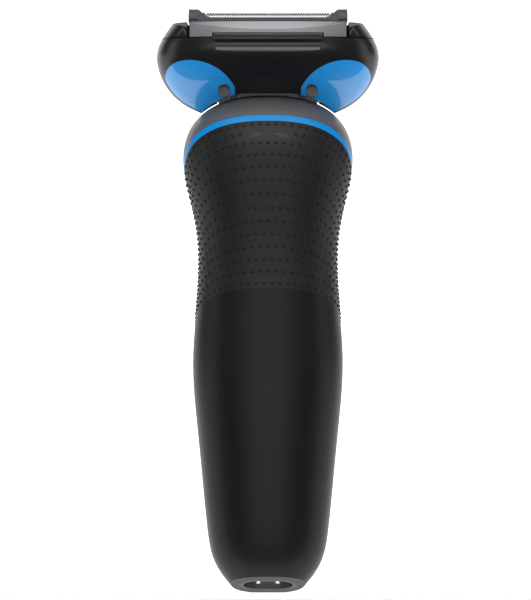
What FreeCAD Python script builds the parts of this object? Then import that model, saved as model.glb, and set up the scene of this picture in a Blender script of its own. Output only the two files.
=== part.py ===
"""Electric foil shaver: handle, detachable tilting head and lift-off foil cassette.

Millimetres.  +Z runs up the handle, the switch side faces -Y and the back faces +Y.
The origin is at the lowest point of the foot, on the middle of the handle.
"""
import FreeCAD, Part
import math
import os
import Sketcher

Vector = FreeCAD.Vector
X_AXIS = Vector(1, 0, 0)
Y_AXIS = Vector(0, 1, 0)
Z_AXIS = Vector(0, 0, 1)

doc = FreeCAD.newDocument("electric_shaver")

# ----------------------------------------------------------------------------------------
# Driving dimensions: name, value, what it is.
# ----------------------------------------------------------------------------------------

SIZES = (
    # Handle outline, from the foot up to the waist.
    ("foot_half_width", 8.8, "handle at its lowest point"),
    ("foot_half_depth", 7.2, "handle at its lowest point"),
    ("toe_height", 4.8, "station above the foot"),
    ("toe_half_width", 12.4, "handle at the toe"),
    ("toe_half_depth", 10.2, "handle at the toe"),
    ("heel_height", 9.5, "station above the foot"),
    ("heel_half_width", 15.2, "handle at the heel"),
    ("heel_half_depth", 12.4, "handle at the heel"),
    ("calf_height", 18.5, "station above the foot"),
    ("calf_half_width", 17.15, "handle at the calf"),
    ("calf_half_depth", 14.0, "handle at the calf"),
    ("shin_height", 31.0, "station above the foot"),
    ("shin_half_width", 18.4, "handle at the shin"),
    ("shin_half_depth", 15.0, "handle at the shin"),
    ("palm_height", 46.0, "station above the foot"),
    ("palm_half_width", 19.85, "handle at the palm"),
    ("palm_half_depth", 16.1, "handle at the palm"),
    ("belly_height", 66.0, "station above the foot"),
    ("belly_half_width", 21.2, "widest part of the lower handle"),
    ("belly_half_depth", 16.8, "deepest part of the lower handle"),
    ("waist_height", 93.0, "narrowest part of the grip above the foot"),
    ("waist_half_width", 19.5, "handle at the waist"),
    ("waist_half_depth", 15.0, "handle at the waist"),
    # Handle outline, above the waist.
    ("chest_rise", 15.0, "chest above the waist"),
    ("chest_half_width", 21.0, "handle at the chest"),
    ("chest_half_depth", 15.9, "handle at the chest"),
    ("shoulder_rise", 29.5, "shoulder above the waist"),
    ("shoulder_half_width", 24.0, "widest part of the neck"),
    ("shoulder_half_depth", 17.2, "deepest part of the neck"),
    ("dome_height", 18.5, "dome above the shoulder"),
    ("dome_power", 2.35, "power of the dome's curve"),
    ("section_power", 2.4, "power of the handle's cross-section"),
    # Foot, walls and skins.
    ("foot_tilt", 18.0, "slope of the end face, degrees"),
    ("foot_edge", 6.5, "end face meets the floor this far forward"),
    ("foot_wall", 2.0, "thickness of the end wall"),
    ("shell_wall", 2.2, "shell with its skin"),
    ("skin", 1.0, "soft grip and front panel"),
    ("shell_split", 3.0, "parting plane forward of the middle"),
    ("seat_gap", 0.05, "clearance of a piece fixed in its seat"),
    ("run_gap", 0.05, "radial clearance of a running fit"),
    ("part_gap", 0.3, "clearance between pieces that move apart"),
    # Accent ring, grip and front panel.
    ("ring_drop", 5.5, "middle of the ring below the shoulder"),
    ("ring_tilt", 50.0, "slope of the ring, degrees"),
    ("ring_thickness", 2.9, "upright thickness of the ring"),
    ("grip_drop", 15.7, "lower end of the grip below the waist"),
    ("grip_tilt", 31.5, "slope of the grip's lower end, degrees"),
    ("panel_half_width", 12.0, "front panel"),
    ("panel_low", 46.0, "centre of the panel's round end above the foot"),
    # Top plate and diaphragm.
    ("plate_depth", 1.5, "top plate reaches below the ring"),
    ("plate_sink", 0.4, "top plate lies below the ring's top"),
    ("diaphragm_radius", 6.0, "rubber diaphragm round the drive pin"),
    ("diaphragm_thickness", 1.2, "upright thickness"),
    # Electric inlet.
    ("inlet_half_width", 6.9, "inlet recess"),
    ("inlet_half_depth", 4.1, "inlet recess"),
    ("inlet_wall", 1.5, "wall round the recess"),
    ("inlet_back", 1.5, "middle of the inlet behind the middle of the handle"),
    ("inlet_recess_top", 9.0, "bottom of the recess above the foot"),
    ("inlet_block_top", 14.5, "inlet block above the foot"),
    ("inlet_pin_spacing", 5.5, "between the two pins"),
    ("inlet_pin_radius", 0.8, "inlet pin"),
    ("inlet_shank_radius", 0.45, "inlet pin inside the block"),
    ("inlet_pin_low", 3.4, "tip of the pins above the foot"),
    ("inlet_pin_top", 17.0, "solder end of the pins above the foot"),
    ("inlet_seal_low", 7.2, "seal above the foot"),
    ("inlet_seal_thickness", 1.2, "seal"),
    ("inlet_seal_width", 1.0, "seal beyond the block"),
    # Battery.
    ("battery_radius", 7.1, "rechargeable cell"),
    ("battery_length", 49.0, "rechargeable cell"),
    ("battery_back", 3.5, "axis of the cell behind the middle"),
    ("battery_drop", 2.5, "top of the cell below the motor shelf"),
    ("tab_thickness", 0.3, "nickel tab"),
    ("tab_half_width", 3.0, "nickel tab"),
    ("tab_half_length", 5.0, "nickel tab"),
    # Chassis and circuit board.
    ("shelf_drop", 21.0, "top of the motor shelf below the waist"),
    ("shelf_thickness", 1.5, "motor shelf"),
    ("chassis_low", 21.0, "chassis above the foot"),
    ("chassis_half_width", 10.6, "chassis back plate"),
    ("chassis_front", 5.6, "front of the back plate forward of the middle"),
    ("chassis_thickness", 1.5, "back plate"),
    ("cheek_thickness", 1.5, "cheeks beside the cell"),
    ("cheek_back", 5.0, "cheeks reach behind the middle"),
    ("board_half_width", 10.6, "circuit board"),
    ("board_front", 8.8, "front of the board forward of the middle"),
    ("board_thickness", 1.2, "circuit board"),
    ("board_low", 22.5, "board above the foot"),
    ("board_rise", 2.5, "top of the board above the waist"),
    ("screw_radius", 0.8, "board screw"),
    ("screw_head_radius", 1.5, "board screw head"),
    ("screw_head_height", 1.0, "board screw head"),
    ("screw_side", 8.6, "board screws beside the middle"),
    ("screw_low", 26.0, "lower board screws above the foot"),
    ("screw_drop", 28.0, "upper board screws below the waist"),
    # Power button, its ring and switch.
    ("button_drop", 8.0, "middle of the button below the waist"),
    ("button_radius", 6.1, "power button"),
    ("button_front", 16.7, "face of the button forward of the middle"),
    ("button_thickness", 3.4, "power button"),
    ("button_crown", 0.8, "rounding of the button's rim"),
    ("button_travel", 0.5, "power button"),
    ("stem_radius", 1.5, "stem of the button"),
    ("stem_gap", 0.1, "between the switch and the stem at full travel"),
    ("bezel_wall", 0.8, "metal ring round the button"),
    ("bezel_front", 16.3, "face of the ring forward of the middle"),
    ("bezel_depth", 3.6, "metal ring"),
    ("membrane_thickness", 0.4, "rubber seal behind the button"),
    ("switch_half_width", 3.0, "tactile switch"),
    ("switch_thickness", 1.6, "body of the tactile switch"),
    ("plunger_radius", 1.2, "plunger of the tactile switch"),
    ("plunger_height", 0.6, "plunger of the tactile switch"),
    # Charge indicator.
    ("lens_radius", 1.1, "charge indicator window"),
    ("lens_pitch", 4.5, "between two windows"),
    ("lens_count", 3, "windows"),
    ("lens_low", 50.0, "lowest window above the foot"),
    ("led_half_width", 0.8, "light-emitting diode"),
    ("led_thickness", 0.8, "light-emitting diode"),
    # Linear motor.
    ("motor_half_width", 12.0, "motor frame"),
    ("motor_front", 5.6, "motor forward of the middle"),
    ("motor_back", 8.4, "motor behind the middle"),
    ("motor_height", 33.5, "motor frame above the shelf"),
    ("motor_plate", 1.2, "thickness of the motor frame"),
    ("core_half_width", 9.4, "laminated core"),
    ("core_base", 3.0, "base of the core"),
    ("core_leg", 2.8, "outer leg of the core"),
    ("core_middle_leg", 2.4, "half of the middle leg"),
    ("core_height", 13.5, "laminated core"),
    ("core_inset", 2.4, "core inside the motor's depth"),
    ("coil_half_width", 5.6, "winding"),
    ("coil_height", 9.2, "winding"),
    ("air_gap", 0.9, "between the core and the armature"),
    ("armature_half_width", 8.4, "armature"),
    ("armature_height", 9.0, "armature"),
    ("armature_inset", 1.0, "armature inside the motor's depth"),
    ("mass_gap", 1.2, "between the armature and the counter mass"),
    ("mass_height", 4.4, "counter mass"),
    ("rod_radius", 0.9, "guide rod"),
    ("rod_inset", 2.6, "guide rods inside the motor's depth"),
    ("stroke", 0.9, "cutters to each side of the middle"),
    ("pin_radius", 1.5, "drive pin"),
    ("pin_rise", 4.6, "drive pin above the middle of the ring"),
    # Neck.
    ("neck_seat", 0.15, "head unit above the ring"),
    ("neck_wall", 1.6, "neck shroud"),
    ("neck_plate", 2.4, "upright thickness of the neck base"),
    ("neck_ridge", 1.6, "ridge above the dome, inside the mouth of the head"),
    ("neck_ridge_half_width", 13.9, "ridge"),
    ("neck_ridge_half_depth", 2.95, "ridge"),
    ("catch_side", 14.5, "catches beside the middle"),
    ("catch_half_width", 2.2, "catch"),
    ("catch_half_depth", 1.0, "catch"),
    ("catch_reach", 7.0, "catches below the neck base"),
    ("catch_gap", 0.4, "catch in its slot"),
    ("axis_rise", 23.5, "tilt axis above the shoulder"),
    ("tilt_limit", 10.0, "head each way, degrees"),
    ("arm_inner", 8.4, "inner face of the yoke arms"),
    ("arm_thickness", 2.1, "yoke arm"),
    ("arm_radius", 3.0, "yoke arm round its pin"),
    ("yoke_bridge_rise", 6.9, "bottom of the yoke's bridge above the middle of the ring"),
    ("yoke_bridge_height", 1.6, "yoke's bridge"),
    ("tilt_pin_radius", 1.4, "tilt pin"),
    ("link_radius", 2.6, "lower end of the neck link"),
    ("link_stem_radius", 1.4, "stem of the neck link"),
    ("link_lift", 0.6, "neck link above the neck base's underside"),
    ("ball_radius", 2.4, "ball of the neck link"),
    # Head outline: rise above the tilt axis, half width and half depth.
    ("keel_drop", 10.4, "lowest station below the tilt axis"),
    ("keel_half_width", 17.5, "head at the keel"),
    ("keel_half_depth", 1.3, "head at the keel"),
    ("bilge_drop", 7.0, "station below the tilt axis"),
    ("bilge_half_width", 24.5, "head at the bilge"),
    ("bilge_half_depth", 5.4, "head at the bilge"),
    ("flank_drop", 2.5, "station below the tilt axis"),
    ("flank_half_width", 28.7, "head at the flank"),
    ("flank_half_depth", 10.4, "head at the flank"),
    ("hip_rise", 3.0, "station above the tilt axis"),
    ("hip_half_width", 31.0, "head at the hip"),
    ("hip_half_depth", 15.2, "head at the hip"),
    ("rim_rise", 6.2, "station above the tilt axis"),
    ("rim_half_width", 31.3, "widest part of the head"),
    ("rim_half_depth", 16.9, "head at the rim"),
    ("seam_rise", 10.5, "seam under the cassette above the tilt axis"),
    ("seam_half_width", 30.0, "head at the seam"),
    ("seam_half_depth", 17.6, "deepest part of the head"),
    ("crest_rise", 15.0, "top of the caps above the tilt axis"),
    ("crest_half_width", 27.0, "head at the top of the caps"),
    ("crest_half_depth", 16.6, "head at the top of the caps"),
    ("head_power", 3.4, "power of the head's cross-section"),
    ("head_wall", 1.6, "head housing"),
    ("head_floor_drop", 2.5, "inside of the housing's bottom below the tilt axis"),
    ("dome_gap", 0.35, "between the shroud and the head"),
    ("head_mouth_half_width", 14.4, "opening in the bottom of the housing"),
    ("head_mouth_half_depth", 4.3, "opening in the bottom of the housing"),
    # Head base and its lugs.
    ("base_rise", 3.5, "head base above the tilt axis"),
    ("base_thickness", 1.5, "head base"),
    ("lug_thickness", 2.2, "lugs on the tilt pins"),
    ("lug_radius", 2.8, "lugs on the tilt pins"),
    # Fenders.
    ("fender_skin", 1.0, "fender"),
    ("fender_inner", 9.3, "inner edge of a fender"),
    ("fender_inner_drop", 3.2, "inner edge below the tilt axis"),
    ("fender_bend", 10.9, "bend of the inner edge"),
    ("fender_bend_drop", 0.8, "bend below the tilt axis"),
    ("fender_shoulder", 15.2, "shoulder of a fender"),
    ("fender_shoulder_rise", 2.6, "shoulder above the tilt axis"),
    ("fender_top", 22.0, "highest point of a fender"),
    ("fender_top_rise", 4.3, "highest point above the tilt axis"),
    ("fender_corner", 27.9, "upper outer corner of a fender"),
    ("fender_corner_rise", 2.3, "upper outer corner above the tilt axis"),
    ("fender_side", 28.9, "outer side of a fender"),
    ("fender_side_rise", 0.2, "outer side above the tilt axis"),
    ("fender_flank", 27.7, "outer flank of a fender"),
    ("fender_flank_drop", 3.0, "outer flank below the tilt axis"),
    ("fender_bilge", 24.8, "lower flank of a fender"),
    ("fender_bilge_drop", 6.2, "lower flank below the tilt axis"),
    ("fender_keel", 21.2, "lowest flank of a fender"),
    ("fender_keel_drop", 8.4, "lowest flank below the tilt axis"),
    ("fender_tip", 18.4, "lower tip of a fender"),
    ("fender_tip_drop", 9.8, "lower tip below the tilt axis"),
    ("stud_side", 12.3, "studs beside the middle"),
    ("stud_drop", 4.0, "studs below the tilt axis"),
    ("stud_radius", 1.7, "stud"),
    ("stud_inner", 5.9, "inner end of a stud"),
    ("stud_length", 2.9, "stud"),
    # Drive bridge.
    ("cheek_half_depth", 2.4, "cheeks of the drive bridge"),
    ("cheek_wall", 1.7, "cheeks of the drive bridge"),
    ("cheek_drop", 2.6, "cheeks below the tilt axis"),
    ("cheek_bridge", 2.9, "inside top of the cheeks above the tilt axis"),
    ("bar_rise", 5.6, "cross bar above the tilt axis"),
    ("bar_height", 1.2, "cross bar"),
    ("bar_half_width", 2.0, "cross bar"),
    ("peg_radius", 1.0, "pegs that drive the cutters"),
    ("peg_gap", 0.1, "peg in its bore"),
    ("trimmer_peg_radius", 0.55, "peg that drives the trimmer"),
    # Cassette.
    ("cassette_gap", 0.25, "cassette above the seam"),
    ("frame_half_width", 21.9, "cassette frame"),
    ("mouth_half_width", 19.7, "opening of the cassette frame"),
    ("mouth_half_depth", 12.9, "opening of the cassette frame"),
    ("skirt_wall", 0.7, "skirt of the cassette frame"),
    ("tray_rise", 7.4, "tray above the tilt axis"),
    ("tray_thickness", 0.8, "tray of the cassette"),
    ("trim_drop", 2.2, "bright trim below the top of the frame"),
    ("trim_skin", 0.8, "bright trim"),
    ("trim_arch", 133.0, "radius of the trim's lower edge"),
    ("bar_side", 15.6, "thumb bar"),
    ("bar_proud", 0.5, "thumb bar beyond the seam"),
    ("bar_depth", 2.6, "thumb bar"),
    ("bar_top", 1.4, "top of the thumb bar above the seam"),
    ("bar_lip", 0.35, "lip of the thumb bar that hangs over the seam"),
    ("bar_lip_drop", 0.9, "bottom of the lip below the seam"),
    ("scoop_side", 14.6, "finger scoop"),
    ("scoop_radius", 3.4, "finger scoop"),
    ("scoop_depth", 1.0, "finger scoop"),
    ("scoop_drop", 2.3, "middle of the finger scoop below the seam"),
    # Release buttons at the ends of the head.
    ("release_gap", 0.7, "between the frame and a release button"),
    ("release_wall", 1.6, "release button"),
    ("tongue_reach", 1.1, "tongue of a release button beyond its inner face"),
    ("tongue_half_depth", 5.0, "tongue of a release button"),
    ("tongue_drop", 0.3, "tongue below the top of the caps"),
    ("tongue_notch", 1.2, "notch in the cassette frame round the tongue"),
    ("release_stem_half_depth", 4.0, "stem of a release button"),
    ("release_stem_low", 4.4, "bottom of the stem below the seam"),
    # Foils, cradles, cutters.
    ("foil_side", 7.4, "middle of a foil beside the middle"),
    ("foil_radius", 4.4, "outside of the foil's arch"),
    ("foil_thickness", 0.2, "foil"),
    ("foil_drop", 0.8, "top of the foil below the top of the cheeks"),
    ("foil_leg", 3.0, "straight legs of the foil"),
    ("cradle_wall", 0.7, "long walls of a cradle"),
    ("cradle_end_wall", 0.6, "end walls of a cradle"),
    ("cradle_height", 7.6, "cradle"),
    ("cradle_drop", 1.1, "rails below the top of the foil"),
    ("cutter_gap", 0.2, "between foil and cutter"),
    ("cutter_wall", 1.0, "inner cutter"),
    ("cutter_half_length", 17.4, "inner cutter"),
    ("cutter_base", 1.2, "base of the inner cutter"),
    ("cutter_leg", 2.4, "legs of the inner cutter"),
    ("spring_side", 11.0, "float springs beside the middle"),
    ("spring_radius", 1.4, "float spring"),
    ("spring_wire", 0.3, "side of the float spring's square wire"),
    ("spring_turns", 3, "float spring"),
    # Trimmer between the foils.
    ("trimmer_half_depth", 1.8, "trimmer holder"),
    ("trimmer_half_width", 19.2, "trimmer holder"),
    ("trimmer_drop", 0.4, "trimmer below the top of the foil"),
    ("guard_thickness", 0.35, "comb of the trimmer"),
    ("guard_height", 3.0, "comb of the trimmer"),
    ("blade_gap", 0.15, "between the comb and its blade"),
    ("blade_half_width", 16.5, "trimmer blade"),
    ("tooth_pitch", 1.2, "trimmer teeth"),
    ("tooth_slot", 0.6, "between two teeth"),
    ("tooth_depth", 1.6, "trimmer teeth"),
    # End cheeks of the cassette.
    ("horn_thickness", 2.6, "end cheek"),
    ("horn_top", 8.5, "top of the cheeks above the seam"),
    ("horn_radius", 4.9, "end cheek over a foil"),
    ("flange_reach", 2.6, "flange of the cheek beyond the opening"),
    ("flange_thickness", 0.9, "flange of the cheek"),
)

sheet = doc.addObject("Spreadsheet::Sheet", "Sizes")
for row, (alias, number, note) in enumerate(SIZES, start=1):
    sheet.set(f"A{row}", alias)
    sheet.set(f"B{row}", str(number))
    sheet.set(f"C{row}", note)
    sheet.setAlias(f"B{row}", alias)
doc.recompute()


class Size:
    """A length, angle or count: its value, and the formula that gives it from the sheet."""

    def __init__(self, number, text):
        self.number = number
        self.text = text

    def __add__(self, other):
        other = as_size(other)
        return Size(self.number + other.number, f"({self.text} + {other.text})")

    def __sub__(self, other):
        other = as_size(other)
        return Size(self.number - other.number, f"({self.text} - {other.text})")

    def __mul__(self, other):
        other = as_size(other)
        return Size(self.number * other.number, f"({self.text} * {other.text})")

    def __truediv__(self, other):
        other = as_size(other)
        return Size(self.number / other.number, f"({self.text} / {other.text})")

    def __neg__(self):
        return Size(-self.number, f"(0 - {self.text})")

    def __radd__(self, other):
        return as_size(other) + self

    def __rsub__(self, other):
        return as_size(other) - self

    def __rmul__(self, other):
        return as_size(other) * self

    def __float__(self):
        return self.number


def as_size(term):
    """A plain number as a Size."""
    if isinstance(term, Size):
        return term
    return Size(float(term), f"({term})")


class SheetSizes:
    """Every size of the sheet under its own name."""

    def __getattr__(self, alias):
        return Size(float(sheet.get(alias)), f"Sizes.{alias}")


size = SheetSizes()

# Heights that several pieces share.
shoulder = size.waist_height + size.shoulder_rise
ring_middle = shoulder - size.ring_drop
ring_bottom = ring_middle - size.ring_thickness / 2
ring_top = ring_middle + size.ring_thickness / 2
neck_bottom = ring_top + size.neck_seat
neck_plate_top = neck_bottom + size.neck_plate
axis = shoulder + size.axis_rise
seam = axis + size.seam_rise
crest = axis + size.crest_rise
shelf_top = size.waist_height - size.shelf_drop
button_height = size.waist_height - size.button_drop
horn_top = seam + size.horn_top
foil_top = horn_top - size.foil_drop
foil_centre = foil_top - size.foil_radius
rail_top = foil_top - size.cradle_drop
cradle_low = rail_top - size.cradle_height
tray_top = axis + size.tray_rise + size.tray_thickness

NODES = {}


def node(label, piece):
    """Name a finished sub-part."""
    piece.Label = label
    NODES[label] = piece
    return piece


# ----------------------------------------------------------------------------------------
# Part primitives and booleans bound to the sheet.
# ----------------------------------------------------------------------------------------

TURNS = {
    "x": FreeCAD.Rotation(Y_AXIS, 90),
    "y": FreeCAD.Rotation(X_AXIS, -90),
    "z": FreeCAD.Rotation(),
}


def bind(piece, **formulas):
    """Bind properties of an object to sizes."""
    for name, term in formulas.items():
        piece.setExpression(name, as_size(term).text)


def bind_place(piece, point):
    """Bind an object's place to three sizes."""
    for letter, term in zip("xyz", point):
        piece.setExpression(f".Placement.Base.{letter}", as_size(term).text)


def block(x, y, z):
    """A box between two sizes along each axis."""
    piece = doc.addObject("Part::Box", "block")
    bind(piece, Length=x[1] - x[0], Width=y[1] - y[0], Height=z[1] - z[0])
    bind_place(piece, (x[0], y[0], z[0]))
    return piece


def rod(direction, start, radius, length):
    """A cylinder that runs from a point along x, y or z."""
    piece = doc.addObject("Part::Cylinder", "rod")
    bind(piece, Radius=radius, Height=length)
    piece.Placement.Rotation = TURNS[direction]
    bind_place(piece, start)
    return piece


def fuse(*pieces):
    """Join objects."""
    joined = doc.addObject("Part::MultiFuse", "joined")
    joined.Shapes = list(pieces)
    joined.Refine = True
    return joined


def cut(base, *tools):
    """Take one or more objects away from another."""
    left = doc.addObject("Part::Cut", "cut")
    left.Base = base
    left.Tool = tools[0] if len(tools) == 1 else fuse(*tools)
    return left


def common(first, second):
    """What two objects share."""
    shared = doc.addObject("Part::Common", "shared")
    shared.Base = first
    shared.Tool = second
    return shared


def group(*pieces):
    """Separate solids in one object."""
    together = doc.addObject("Part::Compound", "group")
    together.Links = list(pieces)
    return together


def shaped(shape):
    """An object whose free-form shape the code below makes from the sheet's sizes."""
    piece = doc.addObject("Part::Feature", "form")
    piece.Shape = shape
    return piece


# ----------------------------------------------------------------------------------------
# PartDesign bodies bound to the sheet.
# ----------------------------------------------------------------------------------------

def new_body(name):
    """An empty body."""
    return doc.addObject("PartDesign::Body", name + "_body")


def sketch_on(body, role, offset, origin=(0, 0)):
    """A sketch on one of the body's own origin planes, moved by an offset."""
    sketch = body.newObject("Sketcher::SketchObject", "sketch")
    plane = next(item for item in body.Origin.OriginFeatures if item.Role == role)
    sketch.AttachmentSupport = [(plane, "")]
    sketch.MapMode = "FlatFace"
    sketch.setExpression(".AttachmentOffset.Base.x", as_size(origin[0]).text)
    sketch.setExpression(".AttachmentOffset.Base.y", as_size(origin[1]).text)
    sketch.setExpression(".AttachmentOffset.Base.z", as_size(offset).text)
    return sketch


def hold(sketch, kind, *where):
    """Add a driving constraint, whose last term is a size."""
    *place, term = where
    number = sketch.addConstraint(Sketcher.Constraint(kind, *place, float(term)))
    sketch.setExpression(f"Constraints[{number}]", as_size(term).text)


def draw_polygon(sketch, points):
    """A closed outline of straight lines whose corners are sizes."""
    corners = [Vector(float(x), float(y), 0) for x, y in points]
    first = sketch.GeometryCount
    count = len(corners)
    for index, corner in enumerate(corners):
        sketch.addGeometry(Part.LineSegment(corner, corners[(index + 1) % count]), False)
    for index in range(count):
        following = first + (index + 1) % count
        sketch.addConstraint(Sketcher.Constraint("Coincident", first + index, 2, following, 1))
    for index, (x, y) in enumerate(points):
        hold(sketch, "DistanceX", -1, 1, first + index, 1, x)
        hold(sketch, "DistanceY", -1, 1, first + index, 1, y)


def draw_circle(sketch, x, y, radius):
    """A circle whose centre and radius are sizes."""
    index = sketch.GeometryCount
    centre = Vector(float(x), float(y), 0)
    sketch.addGeometry(Part.Circle(centre, Z_AXIS, float(radius)), False)
    hold(sketch, "DistanceX", -1, 1, index, 3, x)
    hold(sketch, "DistanceY", -1, 1, index, 3, y)
    hold(sketch, "Radius", index, radius)


def draw_slot(sketch, x, y, half_width, radius):
    """A straight slot along the sketch's x, with round ends, about a centre."""
    first = sketch.GeometryCount
    left = Vector(float(x) - float(half_width) + float(radius), float(y), 0)
    right = Vector(float(x) + float(half_width) - float(radius), float(y), 0)
    rise = Vector(0, float(radius), 0)
    quarter = math.pi / 2
    circle = Part.Circle(left, Z_AXIS, float(radius))
    sketch.addGeometry(Part.ArcOfCircle(circle, quarter, 3 * quarter), False)
    circle = Part.Circle(right, Z_AXIS, float(radius))
    sketch.addGeometry(Part.ArcOfCircle(circle, -quarter, quarter), False)
    sketch.addGeometry(Part.LineSegment(left + rise, right + rise), False)
    sketch.addGeometry(Part.LineSegment(left - rise, right - rise), False)
    for line, line_end, arc, arc_end in ((2, 1, 0, 1), (2, 2, 1, 2), (3, 1, 0, 2), (3, 2, 1, 1)):
        sketch.addConstraint(
            Sketcher.Constraint("Tangent", first + line, line_end, first + arc, arc_end))
    sketch.addConstraint(Sketcher.Constraint("Equal", first, first + 1))
    hold(sketch, "DistanceX", -1, 1, first, 3, x - half_width + radius)
    hold(sketch, "DistanceY", -1, 1, first, 3, y)
    hold(sketch, "DistanceX", -1, 1, first + 1, 3, x + half_width - radius)
    hold(sketch, "DistanceY", -1, 1, first + 1, 3, y)
    hold(sketch, "Radius", first, radius)


def draw_arch(sketch, x, centre, radius, wall, foot):
    """An arch: half a ring about a centre, with straight legs down to a foot."""
    first = sketch.GeometryCount
    middle = Vector(float(x), float(centre), 0)
    inner = radius - wall
    for span in (radius, inner):
        circle = Part.Circle(middle, Z_AXIS, float(span))
        sketch.addGeometry(Part.ArcOfCircle(circle, 0, math.pi), False)
    sides = (float(radius), float(inner), -float(inner), -float(radius))
    for side in sides:
        high = middle + Vector(side, 0, 0)
        low = Vector(float(x) + side, float(foot), 0)
        sketch.addGeometry(Part.LineSegment(high, low), False)
    for pair in (sides[:2], sides[2:]):
        start = Vector(float(x) + pair[0], float(foot), 0)
        end = Vector(float(x) + pair[1], float(foot), 0)
        sketch.addGeometry(Part.LineSegment(start, end), False)
    meets = ((2, 1, 0, 1), (3, 1, 1, 1), (4, 1, 1, 2), (5, 1, 0, 2),
             (2, 2, 6, 1), (3, 2, 6, 2), (4, 2, 7, 1), (5, 2, 7, 2))
    for one, one_end, two, two_end in meets:
        sketch.addConstraint(
            Sketcher.Constraint("Coincident", first + one, one_end, first + two, two_end))
    sketch.addConstraint(Sketcher.Constraint("Coincident", first, 3, first + 1, 3))
    for leg in range(2, 6):
        sketch.addConstraint(Sketcher.Constraint("Vertical", first + leg))
    for sole in (6, 7):
        sketch.addConstraint(Sketcher.Constraint("Horizontal", first + sole))
        hold(sketch, "DistanceY", -1, 1, first + sole, 1, foot)
    for arc in (0, 1):
        for end in (1, 2):
            sketch.addConstraint(
                Sketcher.Constraint("Horizontal", first + arc, end, first + arc, 3))
    hold(sketch, "DistanceX", -1, 1, first, 3, x)
    hold(sketch, "DistanceY", -1, 1, first, 3, centre)
    hold(sketch, "Radius", first, radius)
    hold(sketch, "Radius", first + 1, inner)


DRAW = {"polygon": draw_polygon, "circle": draw_circle, "slot": draw_slot, "arch": draw_arch}


def rectangle(left, right, low, high):
    """The outline of a rectangle, for pad and pocket."""
    return "polygon", [(left, low), (right, low), (right, high), (left, high)]


def draw_all(sketch, outlines):
    """Draw outlines given as a kind and its sizes."""
    for kind, *terms in outlines:
        DRAW[kind](sketch, *terms)


def pad(body, role, low, high, *outlines):
    """Add material between two places along the plane's axis."""
    offset = -high if role == "XZ_Plane" else low
    sketch = sketch_on(body, role, offset)
    draw_all(sketch, outlines)
    feature = body.newObject("PartDesign::Pad", "pad")
    feature.Profile = sketch
    bind(feature, Length=high - low)
    feature.Refine = True
    return feature


def pocket(body, role, low, high, *outlines):
    """Take material away between two places along the plane's axis."""
    offset = -low if role == "XZ_Plane" else high
    sketch = sketch_on(body, role, offset)
    draw_all(sketch, outlines)
    feature = body.newObject("PartDesign::Pocket", "pocket")
    feature.Profile = sketch
    bind(feature, Length=high - low)
    return feature


def revolve(body, role, origin, line, points):
    """Turn an outline about a line of its sketch."""
    sketch = sketch_on(body, role, 0, origin)
    draw_polygon(sketch, points)
    feature = body.newObject("PartDesign::Revolution", "revolution")
    feature.Profile = sketch
    feature.ReferenceAxis = (sketch, [line])
    feature.Angle = 360
    return feature


# ----------------------------------------------------------------------------------------
# Free-form envelopes of the handle and the head.
# ----------------------------------------------------------------------------------------

SECTION_POINTS = 28
DOME_STEPS = (0.25, 0.5, 0.7, 0.84, 0.93, 0.97)
REACH = 120.0


def section(height, half_width, half_depth, power):
    """A closed, smooth cross-section on the superellipse of a power."""
    points = []
    for step in range(SECTION_POINTS):
        angle = 2 * math.pi * step / SECTION_POINTS
        across = math.copysign(abs(math.cos(angle)) ** (2 / power), math.cos(angle))
        along = math.copysign(abs(math.sin(angle)) ** (2 / power), math.sin(angle))
        points.append(Vector(half_width * across, half_depth * along, height))
    curve = Part.BSplineCurve()
    curve.interpolate(Points=points, PeriodicFlag=True)
    return Part.Wire([curve.toShape()])


def handle_form(inset):
    """The handle and the neck as one solid, with its sides and dome moved inwards."""
    stations = [
        (0.0, size.foot_half_width, size.foot_half_depth),
        (size.toe_height, size.toe_half_width, size.toe_half_depth),
        (size.heel_height, size.heel_half_width, size.heel_half_depth),
        (size.calf_height, size.calf_half_width, size.calf_half_depth),
        (size.shin_height, size.shin_half_width, size.shin_half_depth),
        (size.palm_height, size.palm_half_width, size.palm_half_depth),
        (size.belly_height, size.belly_half_width, size.belly_half_depth),
        (size.waist_height, size.waist_half_width, size.waist_half_depth),
        (size.waist_height + size.chest_rise, size.chest_half_width, size.chest_half_depth),
        (shoulder, size.shoulder_half_width, size.shoulder_half_depth),
    ]
    inset = float(inset)
    power = float(size.section_power)
    sections = [section(float(height), float(width) - inset, float(depth) - inset, power)
                for height, width, depth in stations]
    dome_power = float(size.dome_power)
    rise = float(size.dome_height) - inset
    for step in DOME_STEPS:
        share = (1 - step ** dome_power) ** (1 / dome_power)
        width = (float(size.shoulder_half_width) - inset) * share
        depth = (float(size.shoulder_half_depth) - inset) * share
        sections.append(section(float(shoulder) + rise * step, width, depth, power))
    return Part.makeLoft(sections, True, False)


def head_form(inset):
    """The head as one solid, with its sides moved inwards."""
    stations = (
        (-size.keel_drop, size.keel_half_width, size.keel_half_depth),
        (-size.bilge_drop, size.bilge_half_width, size.bilge_half_depth),
        (-size.flank_drop, size.flank_half_width, size.flank_half_depth),
        (size.hip_rise, size.hip_half_width, size.hip_half_depth),
        (size.rim_rise, size.rim_half_width, size.rim_half_depth),
        (size.seam_rise, size.seam_half_width, size.seam_half_depth),
        (size.crest_rise, size.crest_half_width, size.crest_half_depth),
    )
    inset = float(inset)
    sections = []
    for rise, width, depth in stations:
        slim = min(inset, float(depth) / 2)
        height = float(axis) + float(rise)
        power = float(size.head_power)
        sections.append(section(height, float(width) - inset, float(depth) - slim, power))
    return Part.makeLoft(sections, True, False)


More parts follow.
